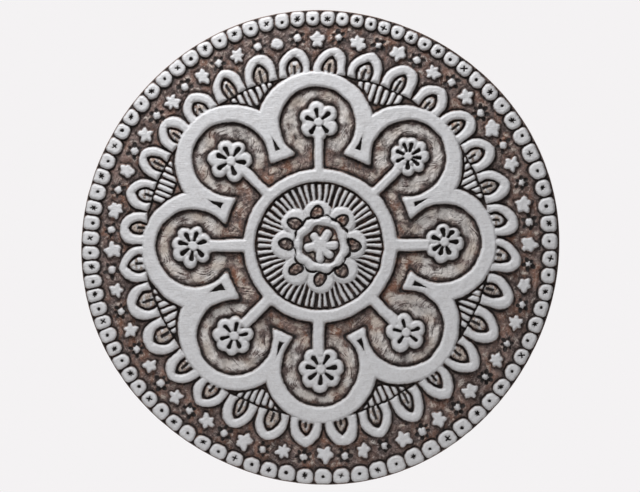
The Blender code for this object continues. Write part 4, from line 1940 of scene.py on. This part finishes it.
@dataclass(frozen=True)
class PaintedRelief(Finish):
    """Silvery white paint on the raised work, and dark brown stain in the ground.

    It reads the marks of the face: edge, paint, hollow, soil, rub, warm and stroke.
    The hollow and soil marks hold painted shade as well as stain.
    """

    name: ClassVar[str] = "painted_relief"
    white: Colour = (0.575, 0.573, 0.583, 1)
    soiled: Colour = (0.30, 0.27, 0.25, 1)
    grime_and_shade: Colour = (0.085, 0.068, 0.062, 1)
    deep_stain_and_shade: Colour = (0.038, 0.0255, 0.0225, 1)
    stain: Colour = (0.15, 0.110, 0.104, 1)
    warm_stain: Colour = (0.23, 0.15, 0.125, 1)
    rust: Colour = (0.24, 0.105, 0.06, 1)
    silver: Colour = (0.575, 0.54, 0.515, 1)
    beige: Colour = (0.49, 0.42, 0.365, 1)
    soot: Colour = (0.016, 0.011, 0.0095, 1)

    def ground(self, board: NodeBoard, brush: Wire, sweep: Wire) -> Wire:
        """The stained ground: patches of brown, rust and rubbed silver.

        Args:
            board: The board that the nodes go on.
            brush: Noise along the brush strokes.
            sweep: The same in broader strokes.

        Returns:
            The ground's colour.
        """
        places, rub, warm = board.places(), board.mark("rub"), board.mark("warm")
        cloud = board.noise(places, 0.018, 3)
        blot = board.noise(places, 0.0065, 4, 0.65)
        fleck = board.noise(places, 0.0026, 4, 0.75)
        crumb = board.noise(places, 0.0015, 3, 0.8)
        tone = (cloud * 0.15 + blot * 0.15 + fleck * 0.35 + brush * 0.35).over(0.43, 0.545)
        colour = board.mixed(self.deep_stain_and_shade, self.stain, tone)
        warmth = (blot * 0.4 + fleck * 0.3 + cloud * 0.3).over(0.45, 0.58)
        colour = board.mixed(colour, self.warm_stain, warmth * warm.over(-0.2, 1.1))
        rusty = board.noise(board.stretched(places, (1.3, 1, 0.8)), 0.011, 4, 0.6)
        rusty = rusty.over(0.48, 0.62) * warm.over(0.1, 1.2) * 0.9
        colour = board.mixed(colour, self.rust, rusty)
        streaks = brush * 0.55 + sweep * 0.15 + fleck * 0.4 + blot * 0.05
        rubbed = (streaks + rub * 0.26).over(0.695, 0.85) * rub.over(-0.1, 0.5)
        pale = board.mixed(self.silver, self.beige, (warm * 0.5 + cloud * 0.7).over(0.36, 0.72))
        colour = board.mixed(colour, pale, rubbed)
        flecks = (fleck * 0.5 + crumb * 0.5).over(0.54, 0.64) * 0.65
        colour = board.mixed(colour, self.beige, flecks)
        colour = board.mixed(colour, self.deep_stain_and_shade, crumb.over(0.42, 0.3) * 0.7)
        return board.mixed(colour, self.deep_stain_and_shade, brush.over(0.4, 0.32) * 0.8)

    def painted(self, board: NodeBoard, brush: Wire) -> Wire:
        """The white paint, a little soiled in places.

        Args:
            board: The board that the nodes go on.
            brush: Noise along the brush strokes.

        Returns:
            The paint's colour.
        """
        places, soil = board.places(), board.mark("soil")
        blot = board.noise(places, 0.009, 4, 0.6)
        speck = board.noise(places, 0.0016, 3, 0.8)
        dust = (blot * 0.3 + speck * 0.7).over(0.45, 0.75) * 0.42 + brush.over(0.5, 0.9) * 0.12
        colour = board.mixed(self.white, self.soiled, dust.clamped())
        # Where the soil mark lies the paint darkens towards grime_and_shade: stain, and painted
        # shade in grooves and valleys
        caught = (soil + (speck - 0.5) * soil * 2.2).clamped()
        return board.mixed(colour, self.grime_and_shade, caught)

    def lay(self, board: NodeBoard) -> None:
        """Lays the ground, darkens its hollows, and lays the paint over it.

        Args:
            board: The board that the nodes go on.
        """
        places, strokes = board.places(), board.mark("stroke", "Vector")
        brush = board.noise(board.stretched(strokes, (1.2, 0.11, 0.11)), 1.0, 3, 0.65)
        sweep = board.noise(board.stretched(strokes, (0.4, 0.07, 0.07)), 1.0, 2, 0.5)
        speck = board.noise(places, 0.0012, 3, 0.7)
        ragged = board.noise(places, 0.003, 2, 0.6)
        cover = board.mark("edge") + (speck - 0.5) * 0.6 + (ragged - 0.5) * 0.7 - 0.02
        covered = (board.mark("paint") + (speck - 0.5) * 0.7).over(0.3, 0.62)
        cover = cover.over(-0.08, 0.1) * covered
        ground = self.ground(board, brush, sweep)
        # The hollow mark darkens the ground: stain in cuts and along the forms, and painted shade
        # in a soft band beside the walls
        darkened = (board.mark("hollow") + (speck - 0.5) * 0.35).clamped()
        ground = board.mixed(ground, self.deep_stain_and_shade, darkened.over(0.05, 0.5))
        ground = board.mixed(ground, self.soot, darkened.over(0.4, 0.9))
        lines = board.noise(board.stretched(places, (160, 160, 1100)), 1.0, 2, 0.5)
        grain = board.noise(places, 0.0011, 3, 0.7)
        pits = board.noise(places, 0.0032, 3, 0.6)
        rough_ground = grain * 0.8 + pits * 1.3 + brush * 1.0
        smooth_paint = lines * 0.35 + pits * 0.35 + grain * 0.4
        bumps = cover * smooth_paint + (1 - cover) * rough_ground
        board.shade(
            {
                "Base Color": board.mixed(ground, self.painted(board, brush), cover),
                "Roughness": 0.66 - cover * 0.24 + (speck - 0.5) * 0.15,
                "Normal": board.bumped(bumps, 0.9, 0.0008),
                "Specular IOR Level": 0.4,
            }
        )


@dataclass(frozen=True)
class BareClay(Finish):
    """The fired clay of the side and the back, with stain that ran over the side."""

    name: ClassVar[str] = "bare_clay"
    clay: Colour = (0.40, 0.25, 0.17, 1)
    pale: Colour = (0.52, 0.38, 0.29, 1)
    stain: Colour = (0.10, 0.07, 0.06, 1)
    pale_stain: Colour = (0.19, 0.13, 0.105, 1)
    stain_from: float = -0.003
    stain_to: float = -0.0065

    def lay(self, board: NodeBoard) -> None:
        """Lays the clay, with stain from a ragged line on the side to the face.

        Args:
            board: The board that the nodes go on.
        """
        places = board.places()
        cloud = board.noise(places, 0.03, 4, 0.6)
        speck = board.noise(places, 0.0016, 4, 0.7)
        grit = board.noise(places, 0.0008, 2, 0.6)
        colour = board.mixed(self.clay, self.pale, (cloud * 0.6 + speck * 0.4).over(0.4, 0.7))
        out = board.add("ShaderNodeSeparateXYZ", {}, {0: places}, 1)
        run = board.noise(board.stretched(places, (60, 8, 60)), 1.0, 3, 0.6)
        darkened = (out + (run - 0.5) * 0.005).over(self.stain_from, self.stain_to)
        brown = board.mixed(self.stain, self.pale_stain, speck.over(0.4, 0.7))
        colour = board.mixed(colour, brown, darkened)
        colour = board.mixed(colour, self.stain, speck.over(0.62, 0.75) * 0.35)
        normal = board.bumped(speck * 0.6 + grit * 0.3 + cloud * 0.4, 0.5, 0.0005)
        board.shade({"Base Color": colour, "Roughness": 0.85 - speck * 0.1, "Normal": normal})


@dataclass(frozen=True)
class PaleFloor(Finish):
    """The studio's plain floor."""

    name: ClassVar[str] = "pale_floor"
    colour: Colour = (0.86, 0.85, 0.84, 1)
    shade: Colour = (0.83, 0.82, 0.81, 1)

    def lay(self, board: NodeBoard) -> None:
        """Lays two pale tints in broad clouds."""
        tint = board.noise(board.places(), 0.4, 2).over(0.3, 0.7)
        board.shade({"Base Color": board.mixed(self.colour, self.shade, tint), "Roughness": 0.8})


# The studio and the tile


@dataclass(frozen=True)
class Studio:
    """The camera, the soft light, the pale surroundings and the floor."""

    picture_size: tuple[int, int] = (640, 492)
    tile_middle: tuple[float, float] = (320.67, 247.05)
    tile_pixels: float = 237.8
    tile_radius: float = 180.0
    camera_away: float = 2.0
    surroundings: Colour = (0.905, 0.888, 0.896, 1)
    fill: float = 0.255
    lamp_place: tuple[float, float, float] = (-0.22, -0.33, 0.72)
    lamp_size: float = 0.26
    lamp_power: float = 9.0
    lamp_colour: tuple[float, float, float] = (0.975, 0.985, 1.0)
    floor_level: float = -0.1875
    floor_half: float = 1.5
    floor_curl: float = 0.03
    floor_steps: int = 25

    def set_camera(self) -> None:
        """Looks squarely at the tile, so that it falls on the same pixels as in the picture."""
        width, height = self.picture_size
        scale = self.tile_radius * MM / self.tile_pixels
        data = bpy.data.cameras.new("camera")
        data.type = "ORTHO"
        data.ortho_scale = width * scale
        camera = in_scene("camera", data)
        right = (width / 2 - self.tile_middle[0]) * scale
        up = (self.tile_middle[1] - height / 2) * scale
        camera.location = (right, -self.camera_away, up)
        camera.rotation_euler = (math.pi / 2, 0, 0)
        bpy.context.scene.camera = camera

    def set_surroundings(self) -> None:
        """Shows the pale surroundings to the camera and lights the tile with a part of them."""
        world = bpy.data.worlds.new("surroundings")
        bpy.context.scene.world = world
        world.use_nodes = True
        board = NodeBoard(world.node_tree)
        seen = board.add("ShaderNodeLightPath", {}, {}, "Is Camera Ray")
        strength = seen * (1 - self.fill) + self.fill
        inputs = {"Color": self.surroundings, "Strength": strength}
        board.end("ShaderNodeOutputWorld", board.add("ShaderNodeBackground", {}, inputs))

    def hang_lamp(self) -> None:
        """Hangs a soft square light and turns it towards the middle of the tile."""
        data = bpy.data.lights.new("key", "AREA")
        data.shape = "SQUARE"
        data.size = self.lamp_size
        data.energy = self.lamp_power
        data.color = self.lamp_colour
        lamp = in_scene("key", data)
        lamp.location = self.lamp_place
        right, out, up = self.lamp_place
        lamp.rotation_euler = (math.atan2(math.hypot(right, out), up), 0, math.atan2(right, -out))

    def lay_floor(self) -> None:
        """Lays a floor just below the picture, with an edge that curls down out of sight."""
        steps = np.linspace(-1, 1, self.floor_steps)
        across, away = np.meshgrid(steps, steps)
        edge = np.maximum(np.abs(across), np.abs(away))
        level = self.floor_level - self.floor_curl * eased(edge, 0.92, 1)
        points = np.stack([across * self.floor_half, away * self.floor_half, level], axis=-1)
        here = np.arange(edge.size).reshape(edge.shape)
        quads = np.stack([here[:-1, :-1], here[:-1, 1:], here[1:, 1:], here[1:, :-1]], axis=-1)
        mesh = bpy.data.meshes.new("floor")
        mesh.from_pydata(points.reshape(-1, 3).tolist(), [], quads.reshape(-1, 4).tolist())
        mesh.materials.append(PaleFloor().make())
        in_scene("floor", mesh)

    def set_up(self) -> None:
        """Sets up the whole studio."""
        self.set_camera()
        self.set_surroundings()
        self.lay_floor()
        self.hang_lamp()
        bpy.context.scene.view_settings.view_transform = "Standard"


@dataclass(frozen=True)
class WallTile:
    """The tile: its rings from the middle outwards, and its back."""

    mandala: Mandala = Mandala()
    rings: tuple[FaceRing, ...] = (
        FaceRing("medallion", 0, 106, 640, 2),
        FaceRing("hub_ring", 1, 30, 840, 5),
        FaceRing("courts", 2, 87, 1120, 3),
        FaceRing("petal_fringe", 3, 60, 1600, 5),
        FaceRing("star_ring", 4, 30, 1920, 8),
        BeadBorder("bead_border", 5, 31, 2304, 6),
    )
    back: BackPlate = BackPlate()
    relief: PaintedRelief = PaintedRelief()
    clay: BareClay = BareClay()

    def build(self) -> None:
        """Builds each piece, gives it its finishes and its place in the frame, and reports it."""
        finishes = [self.relief.make(), self.clay.make()]
        pieces = [ring.build(self.mandala) for ring in self.rings]
        pieces.append(self.back.build())
        for piece in pieces:
            for finish in finishes:
                piece.data.materials.append(finish)
            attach(piece, "root")
            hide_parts("ceramic_tile")
            log.info("%s: %d faces", piece.name, len(piece.data.polygons))


def main() -> None:
    """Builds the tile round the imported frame, and the studio round the tile."""
    logging.basicConfig(level=logging.INFO, format="%(message)s")
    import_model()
    WallTile().build()
    Studio().set_up()


if __name__ == "__main__":
    main()
